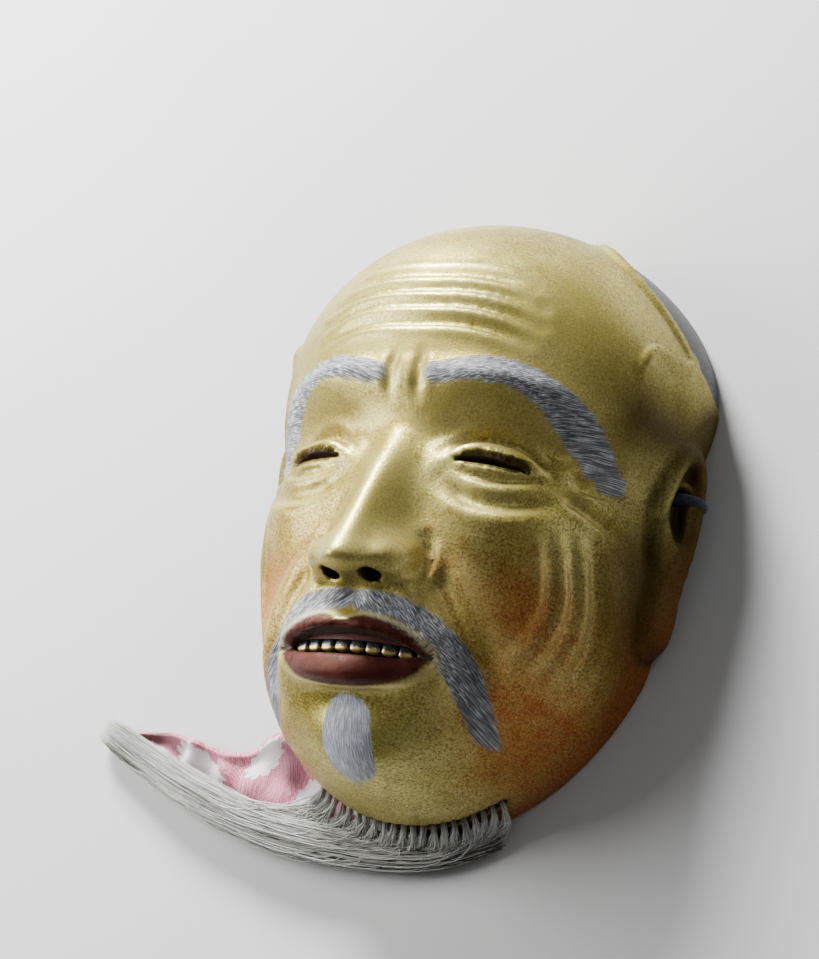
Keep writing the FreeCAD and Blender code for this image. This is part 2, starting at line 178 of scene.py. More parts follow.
def tube_rings(paths, radii, sides):
    """Rings round many paths. paths is (count, points, 3) and radii (count, points)."""
    forward = unit(np.gradient(paths, axis=1))
    across = unit(np.cross(forward, np.array((0.13, 0.21, 1.0))))
    up = np.cross(across, forward)
    turn = circle(sides)[:, None]
    ring = across[:, :, None] * np.cos(turn) + up[:, :, None] * np.sin(turn)
    return paths[:, :, None] + ring * radii[:, :, None, None]


def tube_faces(shape, looped=False):
    """Faces over the rings of some tubes, closed at both ends or looped end to end."""
    index = np.arange(math.prod(shape)).reshape(shape)
    ends = [] if looped else [row[::-1] for row in index[:, 0].tolist()] + index[:, -1].tolist()
    if looped:
        index = np.concatenate((index, index[:, :1]), axis=1)
    after = np.roll(index, -1, axis=2)
    walls = np.stack((index[:, :-1], after[:, :-1], after[:, 1:], index[:, 1:]), axis=-1)
    return walls.reshape(-1, 4).tolist() + ends


def smooth_curves(corners, samples):
    """A quadratic B-spline from the first to the last of each row of corners, (count, points, axes)."""
    spans = corners.shape[1] - 2
    place = np.linspace(0, spans, samples)
    span = np.minimum(place.astype(int), spans - 1)
    share = (place - span)[None, :, None]
    first, second, third = corners[:, span], corners[:, span + 1], corners[:, span + 2]
    low = np.where(span == 0, 0.0, 0.5)[None, :, None]
    high = np.where(span == spans - 1, 1.0, 0.5)[None, :, None]
    start = first + (second - first) * (low + (1 - low) * share)
    end = second + (third - second) * (high * share)
    return start + (end - start) * share


def smooth_curve(corners, samples):
    return smooth_curves(np.array(corners, dtype=float)[None], samples)[0]


# ---- the head's form, as in the CAD

MIDDLE = np.array((0.0, -20.0, 0.0))
WALL = 8.0
BLEND = 5.0
FADE = 30.0
FORMS = (
    (np.array((0.0, 40.0, 0.0)), np.array((74.0, 68.0, 80.0))),
    (np.array((0.0, -14.0, 0.0)), np.array((69.0, 80.0, 76.0))),
    (np.array((0.0, -52.0, 22.0)), np.array((48.0, 47.0, 58.0))),
)
NOSE_TOP, NOSE_BASE, NOSE_RISE, NOSE_ROOT_X, NOSE_TIP_X, NOSE_EDGE = 14.0, -40.5, 23.0, 6.5, 9.5, 1.5

# From the middle, above the origin, half width, half height, how far out.
FEATURES = (
    (27, 24, 20, 6.5, 5.5),
    (30, 9, 17, 8, -5),
    (30, 3, 13, 6.5, 5.5),
    (38, -16, 15, 13, 4.5),
    (11.5, -34, 5.5, 6, 8),
    (0, -56.5, 19, 4.6, 5.5),
    (0, -68.5, 17, 4.8, 5.5),
    (0, -77.5, 16, 5, -2.5),
    (0, -88, 17, 9, 5),
)


def exit_depth(direction, centre, radii):
    """How far an ellipsoid reaches from the face's middle in each direction."""
    step = direction / radii
    start = (MIDDLE - centre) / radii
    square = (step * step).sum(axis=-1)
    slope = step @ start
    return (np.sqrt(slope * slope - square * (start @ start - 1)) - slope) / square


def head_depth(direction, shrink=0.0):
    depths = np.stack([exit_depth(direction, centre, radii - shrink) for centre, radii in FORMS])
    deepest = depths.max(axis=0)
    return deepest + BLEND * np.log(np.exp((depths - deepest) / BLEND).sum(axis=0))


def nose_rise(x, y):
    along = np.clip((NOSE_TOP - y) / (NOSE_TOP - NOSE_BASE), 0, 1)
    half_width = NOSE_ROOT_X + along * (NOSE_TIP_X - NOSE_ROOT_X)
    underside = 1 / (1 + np.exp(np.clip((NOSE_BASE - y) / NOSE_EDGE, -40, 40)))
    return NOSE_RISE * along**1.2 * underside * bell(x, half_width)


def feature_rise(x, y):
    """How far the features of the CAD's face stand out."""
    rise = nose_rise(x, y)
    for side, up, half_width, half_height, out in FEATURES:
        across = bell(np.abs(x) - side, half_width)
        if side:
            across = across + bell(np.abs(x) + side, half_width)
        rise = rise + out * across * bell(y - up, half_height)
    return rise


def polar(points):
    """The distance from the face's middle, and the place on the bare head in the same direction."""
    away = points - MIDDLE
    distance = np.linalg.norm(away, axis=-1)
    direction = away / np.maximum(distance, 1e-6)[..., None]
    depth = head_depth(direction)
    return distance, direction, depth, MIDDLE + direction * depth[..., None]


# ---- fine forms of the face

# Creases on the left half of the face: points (x, y), half width and depth, both before these factors.
CREASE_WIDTH, CREASE_DEPTH = 1.25, 1.45
CREASES = (
    (((16, 3), (21, 8.5), (30, 11.2), (39, 8.5), (45, 2.5)), 1.3, 1.3),
    (((18, -1.5), (24, -4.2), (31, -5.4), (39, -3.6), (45, 0.8)), 1.3, 0.9),
    (((17, -6), (23, -11), (31, -13.5), (40, -11.5), (49, -5)), 1.9, 1.1),
    (((16, -29), (20, -37), (26, -46), (31, -56), (33, -67), (31, -75)), 2.6, 1.9),
    (((16.5, -26), (18.6, -31), (18.2, -37), (15, -41)), 1.3, 1.3),
    (((0, -42), (0, -51)), 2.2, 1.0),
    (((0, 44), (12, 44.6), (24, 44.0), (35, 41)), 1.5, 1.1),
    (((0, 50), (12, 50.8), (25, 50.0), (37, 46.6)), 1.5, 1.1),
    (((0, 56), (12, 56.8), (25, 56.2), (36, 53)), 1.5, 1.0),
    (((0, 62), (11, 62.7), (22, 62.2), (32, 60)), 1.5, 0.8),
    (((4.5, 19), (5.2, 26), (4.2, 33)), 1.3, 0.9),
    (((48, 4), (54, 8), (59, 14)), 1.3, 0.9),
    (((49, 1), (55, 2.5), (61, 5)), 1.3, 0.9),
    (((48, -3), (54, -6), (60, -8)), 1.3, 0.8),
    (((47, -20), (50.5, -32), (48, -45), (42, -57)), 1.2, 1.25),
    (((51.5, -17), (55, -31), (52.5, -46), (46, -59)), 1.2, 1.25),
    (((56, -14), (59, -30), (56.5, -47), (50, -61)), 1.2, 1.1),
)
LIP_MIDDLE, LIP_X, LIP_UP, LIP_DOWN = -62.0, 25.0, 10.0, 11.0
SLIT_SIDE, SLIT_UP, SLIT_X, SLIT_Y, SLIT_SAG = 30.0, 1.0, 11.5, 1.6, 0.006
MOUTH_UP, MOUTH_X, MOUTH_Y = -62.0, 21.0, 3.6

# The lower edge of the painted hair and the hook over the temple, seen from the side: points (y, z).
HAIR_EDGE = (
    (105, 13), (99, 23), (92, 30), (84, 33.5), (76, 32), (68, 27.5), (61, 22.5), (56, 18), (52, 9), (49, 1),
)
TEMPLE_EDGE = ((59, 18.5), (53.5, 22), (52, 29), (53.5, 35), (52, 40), (46, 43), (39, 44))


def curve_distance(x, y, corners):
    """The distance in a plane from a smooth line, and how far along it the nearest point is, 0 to 1."""
    line = smooth_curve(corners, 4 * len(corners)) if len(corners) > 2 else np.array(corners, dtype=float)
    nearest = np.full(x.shape, 1e6)
    along = np.zeros(x.shape)
    for index, (start, end) in enumerate(zip(line, line[1:])):
        run = end - start
        share = np.clip(((x - start[0]) * run[0] + (y - start[1]) * run[1]) / (run @ run), 0, 1)
        gap = np.hypot(x - start[0] - share * run[0], y - start[1] - share * run[1])
        closer = gap < nearest
        nearest = np.where(closer, gap, nearest)
        along = np.where(closer, (index + share) / (len(line) - 1), along)
    return nearest, along


def crease_rise(x, y):
    """Every crease is a groove between two soft swellings, and runs out at its ends."""
    rise = np.zeros(x.shape)
    for corners, width, depth in CREASES:
        half_width = CREASE_WIDTH * width
        gap, along = curve_distance(x, y, corners)
        starts_at_middle = corners[0][0] == 0
        if starts_at_middle:
            fade = smoothstep((1 - along) / 0.3)
        else:
            fade = smoothstep(along / 0.25) * smoothstep((1 - along) / 0.25)
        groove = bell(gap, half_width) - 0.45 * bell(gap - 2.1 * half_width, half_width)
        rise -= CREASE_DEPTH * depth * (0.25 + 0.75 * fade) * groove
    return rise


def lip_ellipse(x, y):
    """1 on the lips' outer border, less inside it."""
    half = np.where(y > LIP_MIDDLE, LIP_UP - 2.0 * bell(x, 4.0), LIP_DOWN)
    return np.hypot(x / LIP_X, (y - LIP_MIDDLE) / half)


def hair_height(y):
    """How far above the rest plane the painted hair on the side of the head ends."""
    edge = np.array(HAIR_EDGE[::-1], dtype=float)
    return np.interp(y, edge[:, 0], edge[:, 1], left=-5, right=0)


def side_rise(x, y, z):
    """The raised edge along the hair, which hooks over the temple, and the hollow under the hook."""
    hair_gap, _ = curve_distance(y, z, HAIR_EDGE)
    hook_gap, along = curve_distance(y, z, TEMPLE_EDGE)
    edge = 2.4 * bell(hair_gap, 2.0) - 0.7 * bell(hair_gap - 4.4, 2.3)
    hook = 3.0 * bell(hook_gap, 2.0) * smoothstep((1 - along) / 0.2)
    sunk = 2.2 * bell(y - 41, 9) * bell(z - 27, 12)
    return (np.maximum(edge, hook) - sunk) * smoothstep((x - 26) / 8)


def fine_rise(place):
    """What the finished face adds to the CAD's: creases, eyelids, lips with an edge, and the hair's edge."""
    x, y, z = np.abs(place[..., 0]), place[..., 1], place[..., 2]
    lids = np.hypot((x - SLIT_SIDE) / 14.0, (y - 2.5) / 7.0)
    lips = lip_ellipse(x, y)
    rise = crease_rise(x, y) + side_rise(x, y, z)
    rise = rise + 1.5 * smoothstep((1.05 - lids) / 0.5) + 1.5 * smoothstep((1.0 - lips) / 0.22)
    return rise + 0.7 * bell(lips - 1.0, 0.07)


# ---- solid field of the shell


def union(first, second, soft):
    share = np.clip(0.5 + 0.5 * (second - first) / soft, 0, 1)
    return second * (1 - share) + first * share - soft * share * (1 - share)


def without(first, second, soft):
    """The first solid with the second cut away, its new edge rounded."""
    return -union(-first, second, soft)


def ellipsoid(points, centre, radii):
    scaled = (points - np.array(centre)) / np.array(radii)
    size = np.linalg.norm(scaled, axis=-1)
    slope = np.linalg.norm(scaled / np.array(radii), axis=-1)
    return size * (size - 1) / np.maximum(slope, 1e-6)


def line_distance(points, start, end):
    start, run = np.array(start, dtype=float), np.array(end, dtype=float) - np.array(start, dtype=float)
    share = np.clip((points - start) @ run / (run @ run), 0, 1)
    return np.linalg.norm(points - start - share[..., None] * run, axis=-1)


def folded(points):
    """Points of the right half moved over to the left half."""
    return np.concatenate((np.abs(points[..., :1]), points[..., 1:]), axis=-1)


# The left ear: its outer rim from the front over the top to the lobe, then its inner fold. Points (x, y, z).
EAR_RIM = (
    (64.5, 0, 21.5), (67.5, 9, 22), (69, 19, 21), (70.5, 27, 17), (72, 29, 11.5),
    (73.6, 20, 9), (74.0, 6, 8.8), (72.6, -8, 8.5), (68.5, -22, 9),
)
EAR_FOLD = ((68, 15, 18.5), (70.5, 20, 14), (72, 12, 10.5), (72, -2, 11), (71, -12, 14), (68.5, -20, 17))
EAR_BODY = ((66, -2, 5), (8, 31, 17.5))
EAR_LOBE = ((65.8, -27, 11), (5.0, 11, 9))
EAR_HOLLOW = ((76.2, 10, 15), (8.4, 13.5, 6.6))
EAR_TAB = ((68.2, -4, 20.5), (2.6, 6, 2.4))


def ear(points):
    """The left ear's solid."""
    whole = union(ellipsoid(points, *EAR_BODY), ellipsoid(points, *EAR_LOBE), 7.0)
    whole = without(whole, ellipsoid(points, *EAR_HOLLOW), 1.5)
    for corners, radius in ((EAR_RIM, 2.5), (EAR_FOLD, 1.5)):
        line = smooth_curve(corners, 3 * len(corners))
        for start, end in zip(line, line[1:]):
            whole = union(whole, line_distance(points, start, end) - radius, 2.0)
    return union(whole, ellipsoid(points, *EAR_TAB), 3.0)


def outside(points, fine):
    """Below 0 inside the head's outer surface."""
    distance, _, depth, place = polar(points)
    rise = feature_rise(place[..., 0], place[..., 1])
    if fine:
        rise = rise + fine_rise(place)
    return distance - depth - rise * smoothstep(place[..., 2] / FADE)


def hollow(points):
    """Below 0 inside the carved hollow."""
    distance, direction, _, _ = polar(points)
    inner = distance - head_depth(direction, WALL)
    return union(inner, ellipsoid(points, (0, -24, 66), (12, 20, 16)), 3.0)


TUFT_COUNT, TUFT_SPAN, TUFT_TILT, TUFT_FALL = 21, 24, 78, 35
TUFT_HOLE_RADIUS, TUFT_HOLE_DEPTH = 1.4, 6.5
CORD_HOLE = (14.0, 15.0, 2.6)
NOSTRIL_START, NOSTRIL_LEAN, NOSTRIL_LENGTH, NOSTRIL_RADIUS = (6.5, -44.0, 88.0), 142, 45, 3.0


def tuft_roots():
    """Where each tuft leaves the jaw and which way it points, from the right side to the left."""
    tilt, fall = math.radians(TUFT_TILT), math.radians(TUFT_FALL)
    turn = np.radians(np.linspace(-TUFT_SPAN, TUFT_SPAN, TUFT_COUNT))
    outward = np.stack((np.sin(turn), -np.cos(turn), np.zeros(TUFT_COUNT)), axis=-1)
    direction = outward * math.sin(tilt) + np.array((0, 0, math.cos(tilt)))
    depth = head_depth(direction)
    place = MIDDLE + direction * depth[:, None]
    depth = depth + feature_rise(place[:, 0], place[:, 1]) * smoothstep(place[:, 2] / FADE)
    return MIDDLE + direction * depth[:, None], outward * math.cos(fall) - np.array((0, 0, math.sin(fall)))


def openings(points):
    """Below 0 in the eye slit, nostril, mouth, cord hole and tuft holes of the left half."""
    x, y, z = points[..., 0], points[..., 1], points[..., 2]
    along = np.clip(1 - ((x - SLIT_SIDE) / SLIT_X) ** 2, 0, 1)
    slit = np.abs(y - SLIT_UP + SLIT_SAG * (x - SLIT_SIDE) ** 2) - SLIT_Y * along**0.6 + 0.4
    slit = np.maximum(np.maximum(slit, np.abs(x - SLIT_SIDE) - SLIT_X), 40 - z)
    mouth = np.maximum((np.hypot(x / MOUTH_X, (y - MOUTH_UP) / MOUTH_Y) - 1) * MOUTH_Y, 45 - z)
    lean, start = math.radians(NOSTRIL_LEAN), np.array(NOSTRIL_START)
    end = start + NOSTRIL_LENGTH * np.array((0, math.sin(lean), math.cos(lean)))
    nostril = line_distance(points, start, end) - NOSTRIL_RADIUS
    hole_up, hole_out, hole_radius = CORD_HOLE
    cord_hole = np.maximum(np.hypot(y - hole_up, z - hole_out) - hole_radius, 50.8 - x)
    cuts = np.minimum(np.minimum(slit, mouth), np.minimum(nostril, cord_hole))
    reach = TUFT_HOLE_DEPTH - TUFT_HOLE_RADIUS
    for root, direction in list(zip(*tuft_roots()))[TUFT_COUNT // 2 :]:
        hole = line_distance(points, root - direction * reach, root + direction * reach) - TUFT_HOLE_RADIUS
        cuts = np.minimum(cuts, hole)
    return cuts


ARCH_MIDDLE, ARCH_TOP, ARCH_RADIUS = 2, 8, 130


def shell(points, fine=False):
    """Below 0 in the wood of the mask, which is the same on both sides."""
    points = folded(points)
    y, z = points[..., 1], points[..., 2]
    solid = union(outside(points, fine), ear(points), 3.0)
    solid = without(solid, hollow(points), 1.2)
    solid = without(solid, openings(points), 0.9)
    solid = without(solid, z, 1.0)
    return without(solid, np.hypot(y - ARCH_MIDDLE, z - ARCH_TOP + ARCH_RADIUS) - ARCH_RADIUS, 1.2)


# ---- mesh of the shell

STEP = 1.08
GRID_LOW, GRID_HIGH = np.array((0.0, -104.0, -2.5)), np.array((82.0, 112.0, 103.0))
CORNERS = list(itertools.product((0, 1), repeat=3))


def field_grid():
    """The shell's field on a grid over both halves of the mask."""
    axes = [np.arange(low, high, STEP) for low, high in zip(GRID_LOW, GRID_HIGH)]
    rows = [shell(np.stack(np.meshgrid([x], *axes[1:], indexing="ij"), axis=-1)[0]) for x in axes[0]]
    half = np.stack(rows)
    low = np.array((-axes[0][-1], axes[1][0], axes[2][0]))
    return np.concatenate((half[:0:-1], half)), low


def cell_points(field, low, cells):
    """The mean of the places where the surface crosses each cell's edges."""
    total, crossings = np.zeros((len(cells), 3)), np.zeros(len(cells))
    for start, axis in itertools.product(CORNERS, range(3)):
        if start[axis]:
            continue
        run = np.eye(3, dtype=int)[axis]
        first = field[tuple((cells + start).T)]
        second = field[tuple((cells + start + run).T)]
        crossed = (first < 0) != (second < 0)
        share = np.where(crossed, first / np.where(crossed, first - second, 1), 0)
        total += crossed[:, None] * (np.array(start) + share[:, None] * run)
        crossings += crossed
    return low + STEP * (cells + total / crossings[:, None])


def cell_faces(inside, number, axis):
    """One face round each of the grid's edges along an axis that the surface crosses."""
    one, two = [other for other in range(3) if other != axis]
    before = np.take(inside, range(inside.shape[axis] - 1), axis)
    after = np.take(inside, range(1, inside.shape[axis]), axis)
    crossed = np.argwhere(before != after)
    for other in (one, two):
        crossed = crossed[(crossed[:, other] > 0) & (crossed[:, other] < number.shape[other])]
    ring = []
    for shift_one, shift_two in ((-1, -1), (0, -1), (0, 0), (-1, 0)):
        cell = crossed.copy()
        cell[:, one] += shift_one
        cell[:, two] += shift_two
        ring.append(number[tuple(cell.T)])
    quads = np.stack(ring, axis=-1)
    flip = inside[tuple(crossed.T)] == (axis == 1)
    quads[flip] = quads[flip][:, ::-1]
    return quads


def surface_net(field, low):
    """One point in each cell that the surface crosses, and one face for each grid edge that it crosses."""
    inside = field < 0
    size = np.array(field.shape) - 1
    count = np.zeros(size, dtype=np.int8)
    for corner in CORNERS:
        count += inside[tuple(slice(c, c + s) for c, s in zip(corner, size))]
    active = (count > 0) & (count < len(CORNERS))
    cells = np.argwhere(active)
    number = np.full(size, -1, dtype=np.int64)
    number[active] = np.arange(len(cells))
    faces = [cell_faces(inside, number, axis) for axis in range(3)]
    return cell_points(field, low, cells), np.concatenate(faces)


def neighbour_mean(points, faces):
    total, count = np.zeros_like(points), np.zeros(len(points))
    for a, b in ((0, 1), (1, 2), (2, 3), (3, 0)):
        for start, end in ((a, b), (b, a)):
            np.add.at(total, faces[:, start], points[faces[:, end]])
            np.add.at(count, faces[:, start], 1)
    return total / count[:, None]


def onto_surface(points, rounds):
    """Moves each point along the field's slope to where the field is 0."""
    tiny = 0.2
    for _ in range(rounds):
        here = shell(points, True)
        slope = np.stack([(shell(points + tiny * axis, True) - here) / tiny for axis in np.eye(3)], axis=-1)
        square = np.maximum((slope * slope).sum(axis=-1), 0.2)
        points = points - np.clip(here / square, -0.9, 0.9)[:, None] * slope
    return points


def mask_mesh():
    points, faces = surface_net(*field_grid())
    for _ in range(2):
        points = points + 0.5 * (neighbour_mean(points, faces) - points)
        points = onto_surface(points, 2)
    return points + 0.4 * (neighbour_mean(points, faces) - points), faces


# ---- paint masks

BROW = ((10, 25), (20, 27.5), (33, 28.5), (45, 24), (54, 14), (57, 7))
MOUSTACHE = ((2.5, -48), (10, -49.5), (20, -52.5), (29, -59), (34, -68), (35, -77))


def band(x, y, corners, width, edge):
    """1 on a band round a line, thinner at its ends, and how far along the band each point lies."""
    gap, along = curve_distance(x, y, corners)
    half = width * np.sqrt(np.clip(4 * (along + 0.12) * (1.12 - along) / 1.25, 0, 1))
    return smoothstep((half - gap) / edge + 0.5), along


def paint(points):
    """The masks for paint at each point, and the direction that painted hair runs in."""
    y, z = points[:, 1], points[:, 2]
    _, _, _, place = polar(points)
    px, py = np.abs(place[:, 0]), place[:, 1]
    front = smoothstep((z - 30) / 6)
    brow, brow_along = band(px, py, BROW, 5.6, 4.4)
    moustache, moustache_along = band(px, py, MOUSTACHE, 4.9, 3.4)
    round_patch = ((px / 8.4) ** 2.5 + (np.abs(py + 84.5) / 9.5) ** 2.5) ** 0.4
    patch = smoothstep((1.1 - round_patch) / 0.3)
    crown_gap = 22 * (1 - smoothstep((px - 24) / 16))
    temple = smoothstep((hair_height(py) - crown_gap - place[:, 2] - 0.6) / 1.2)
    flow = np.zeros((len(points), 3))
    for mask, first, second in (
        (brow * front, 60 * brow_along + 0.3 * py, py - 0.25 * px),
        (moustache * front, 60 * moustache_along, px * 0.7 + py * 0.7),
        (patch * front, py, place[:, 0] * (1 + 0.008 * (py + 84))),
        (temple, y + z, z * 1.2 - np.abs(points[:, 0]) * 0.3),
    ):
        flow[mask > 0.01, :2] = np.stack((first, second), axis=-1)[mask > 0.01]
    flow[:, 2] = np.where((points[:, 0] < 0) & (patch < 0.01), 50.0, 0.0)
    lips = lip_ellipse(px, py)
    return {
        "hair": np.maximum(np.maximum.reduce((brow, moustache, patch)) * front, temple),
        "flow": flow * MM,
        "lips": smoothstep((0.98 - lips) / 0.06) * front,
        "lip_edge": bell(lips - 1.02, 0.045) * front,
        "temple": temple,
        "patch": patch * front,
    }


def toning(points):
    """Where painted shade darkens the gold on the sides, over the temple and along the low rim, and where it
    is rubbed with red-brown.
    """
    x, y, z = np.abs(points[:, 0]), points[:, 1], points[:, 2]
    # The first three masks are painted shade: the sides, the temple and the low rim are darkened where little
    # light falls.
    sides = smoothstep((x - 50) / 16) * smoothstep((66 - z) / 26) * smoothstep((24 - y) / 40)
    temple = bell(y - 30, 19) * smoothstep((64 - z) / 24) * smoothstep((x - 42) / 10)
    low_rim_shade = 0.8 * smoothstep((20 - z) / 20) * smoothstep((60 - y) / 20)
    jaw = smoothstep((x - 14) / 32) * smoothstep((-y - 50) / 20) * smoothstep((-y + 0.9 * x - 80) / 22)
    rim = 0.8 * smoothstep((26 - z) / 26) * smoothstep((-y + 10) / 50)
    under = 0.9 * smoothstep((30 - z) / 22) * smoothstep((-y - 60) / 24)
    cheek = 0.95 * bell(x - 44, 14) * bell(y + 42, 18)
    beside_nose = 0.35 * bell(x - 21, 9) * bell(y + 30, 13)
    socket = 0.3 * bell(x - 25, 14) * bell(y - 13, 6)
    blush = np.maximum.reduce((jaw, rim, under)) + cheek + beside_nose + socket
    return {"aged": np.clip(sides + temple + low_rim_shade, 0, 1), "blush": np.clip(blush, 0, 1)}


def cavity(points, normals):
    """How hollow the surface is at each point, from the field 2 mm and 6 mm above it."""
    near, wide = ((gap - shell(points + normals * gap, True)) / gap for gap in (2.0, 6.0))
    return np.clip(0.9 * near + 0.6 * wide, -0.3, 1.0)


def point_normals(points, faces):
    corner = [points[faces[:, index]] for index in range(4)]
    normal = np.cross(corner[2] - corner[0], corner[3] - corner[1])
    total = np.zeros_like(points)
    for index in range(4):
        np.add.at(total, faces[:, index], normal)
    return unit(total)


# ---- materials


def painted_hair(make):
    """The colour of painted hair, its share at each point, and the height of its strokes."""
    along = make.node("Mapping", {"Vector": make.attribute("flow", "Vector"), "Scale": (0.10, 1.0, 1.0)})
    streaks = make.noise(0.26, 2, 0.55, along.outputs["Vector"])
    strands = make.noise(0.8, 3, 0.7, along.outputs["Vector"])
    density = make.steps(make.noise(3.5, 3, 0.6), 0.3, 0.7, 0.35, 0.95)
    bright = make.times(make.steps(streaks, 0.47, 0.62), density)
    patch = make.attribute("patch")
    colour = make.fade(strands, 0.3, 0.7, (0.052, 0.057, 0.070), (0.130, 0.136, 0.155))
    colour = make.mix(bright, colour, (0.60, 0.61, 0.64))
    colour = make.fade(make.attribute("temple"), 0.4, 0.9, colour, (0.015, 0.018, 0.026), 0.88)
    colour = make.mix(make.times(patch, bright), colour, (0.72, 0.76, 0.82))
    colour = make.mix(make.times(patch, 0.45), colour, (0.44, 0.48, 0.55))
    ragged = make.math("ADD", make.attribute("hair"), make.steps(strands, 0.3, 0.7, -0.30, 0.22))
    share = make.steps(ragged, 0.28, 0.72)
    return colour, share, make.times(streaks, share)


def gold_material():
    """Satin olive-gold paint over gofun: stippled, with painted shade in its hollows, on its sides and over
    the temple, with painted hair and red lips.
    """
    tint = (0.62, 0.50, 0.24)
    make = Shader("olive_gold_paint", Specular_IOR_Level=0.25, Specular_Tint=tint, Coat_Roughness=0.2)
    patches, stipple, grain = make.noise(6, 4, 0.65), make.noise(0.75, 4, 0.75), make.noise(0.28, 2, 0.6)
    aged, depth, lip_share = make.attribute("aged"), make.attribute("cavity"), make.attribute("lips")
    colour = make.fade(make.noise(30, 3), 0.35, 0.65, (0.33, 0.270, 0.048), (0.49, 0.445, 0.140))
    colour = make.fade(patches, 0.45, 0.75, colour, (0.17, 0.105, 0.008), 0.5)
    colour = make.fade(stipple, 0.47, 0.62, colour, (0.07, 0.047, 0.004), 0.75)
    colour = make.fade(stipple, 0.44, 0.30, colour, (0.80, 0.77, 0.44), 0.6)
    # Painted shade: the gold goes almost black on the sides, over the temple and along the low rim.
    colour = make.mix(make.times(aged, 0.94), colour, (0.036, 0.020, 0.001))
    blush = make.times(make.attribute("blush"), make.steps(patches, 0.2, 0.75, 0.72, 1.0))
    rust = make.fade(stipple, 0.40, 0.60, (0.42, 0.130, 0.033), (0.21, 0.056, 0.014))
    colour = make.mix(make.times(blush, 0.90), colour, rust)
    # Painted shade: the gold is darkened almost to black in the hollows of the carving.
    hollow_share = make.steps(depth, 0.05, 0.5)
    colour = make.mix(make.times(hollow_share, 0.88), colour, (0.022, 0.012, 0.001))
    untoned = make.math("SUBTRACT", 1.0, make.most(aged, blush))
    worn = make.times(make.steps(depth, -0.02, -0.2), untoned)
    colour = make.mix(make.times(worn, 0.4), colour, (0.45, 0.38, 0.12))

    hair_colour, hair_share, strokes = painted_hair(make)
    colour = make.mix(hair_share, colour, hair_colour)
    lip_colour = make.fade(patches, 0.35, 0.7, (0.045, 0.007, 0.007), (0.085, 0.017, 0.015))
    lip_colour = make.fade(stipple, 0.55, 0.68, lip_colour, (0.03, 0.012, 0.012), 0.6)
    colour = make.mix(lip_share, colour, lip_colour)
    colour = make.mix(make.times(make.attribute("lip_edge"), 0.8), colour, (0.55, 0.45, 0.20))

    paint_only = make.math("SUBTRACT", 1.0, make.most(hair_share, lip_share))
    metal = make.times(paint_only, make.steps(blush, 0.0, 0.8, 0.66, 0.35))
    metal = make.times(metal, make.steps(aged, 0.0, 1.0, 1.0, 0.35))
    dull = make.most(make.most(hollow_share, blush), aged)
    rough = make.steps(stipple, 0.3, 0.7, 0.30, 0.52)
    rough = make.math("ADD", rough, make.times(make.most(dull, lip_share), 0.12))
    coat = make.times(paint_only, make.steps(dull, 0.0, 0.8, 0.3, 0.0))
    relief = make.relief((stipple, 0.13, 0.7), (grain, 0.05, 0.6), (strokes, 0.12, 0.8), (patches, 0.25, 0.5))
    return make.finish(Base_Color=colour, Metallic=metal, Roughness=rough, Coat_Weight=coat, Normal=relief)


def back_material():
    """The inside: cypress darkened with lacquer and age, with tool marks, grain along the face and painted
    shade in its hollows.
    """
    make = Shader("dark_cypress", Coat_Weight=0.1, Coat_Roughness=0.4)
    grain = make.noise(1.1, 4, 0.6, make.place((1, 0.06, 1)))
    rings = make.noise(4.5, 2, 0.5, make.place((1, 0.09, 1)))
    cuts = {"Vector": make.place((1, 0.5, 1)), "Scale": 1 / (9 * MM)}
    tools = make.node("TexVoronoi", cuts, feature="SMOOTH_F1").outputs["Distance"]
    colour = make.fade(rings, 0.35, 0.65, (0.055, 0.026, 0.012), (0.12, 0.062, 0.028))
    colour = make.fade(grain, 0.5, 0.75, colour, (0.03, 0.014, 0.008), 0.7)
    # Painted shade: darker in the hollows of the carving.
    colour = make.fade(make.attribute("cavity"), 0.1, 0.6, colour, (0.02, 0.01, 0.006), 0.4)
    rough = make.steps(grain, 0.3, 0.7, 0.42, 0.66)
    relief = make.relief((tools, 0.6, 0.6), (grain, 0.12, 0.7))
    return make.finish(Base_Color=colour, Roughness=rough, Normal=relief)


def floor_material():
    make = Shader("pale_floor", Roughness=0.9)
    tone = make.fade(make.noise(300, 2), 0.3, 0.7, (0.53, 0.53, 0.53), (0.57, 0.57, 0.57))
    return make.finish(Base_Color=tone, Normal=make.relief((make.noise(0.8, 2), 0.02, 0.2)))


def hair_material():
    """Grey-white horsehair: each strand has its own shade, darker and browner at its root, and darker as
    painted shade where it lies low over the cloth.
    """
    make = Shader("grey_horsehair", Specular_IOR_Level=0.5, Sheen_Weight=0.05, Sheen_Roughness=0.4)
    speckle = make.noise(1.3, 3, 0.6)
    colour = make.mix(make.attribute("shade"), (0.060, 0.057, 0.036), (0.66, 0.67, 0.61))
    colour = make.fade(speckle, 0.55, 0.75, colour, (0.19, 0.175, 0.115), 0.3)
    colour = make.fade(make.attribute("root"), 0.0, 1.0, colour, (0.045, 0.028, 0.018), 0.85)
    # Painted shade: hair that lies low over the cloth is darkened.
    colour = make.fade(make.attribute("low"), 0.0, 1.0, colour, (0.11, 0.085, 0.07), 0.5)
    rough = make.steps(speckle, 0.3, 0.7, 0.34, 0.52)
    return make.finish(Base_Color=colour, Roughness=rough, Normal=make.relief((speckle, 0.05, 0.4)))


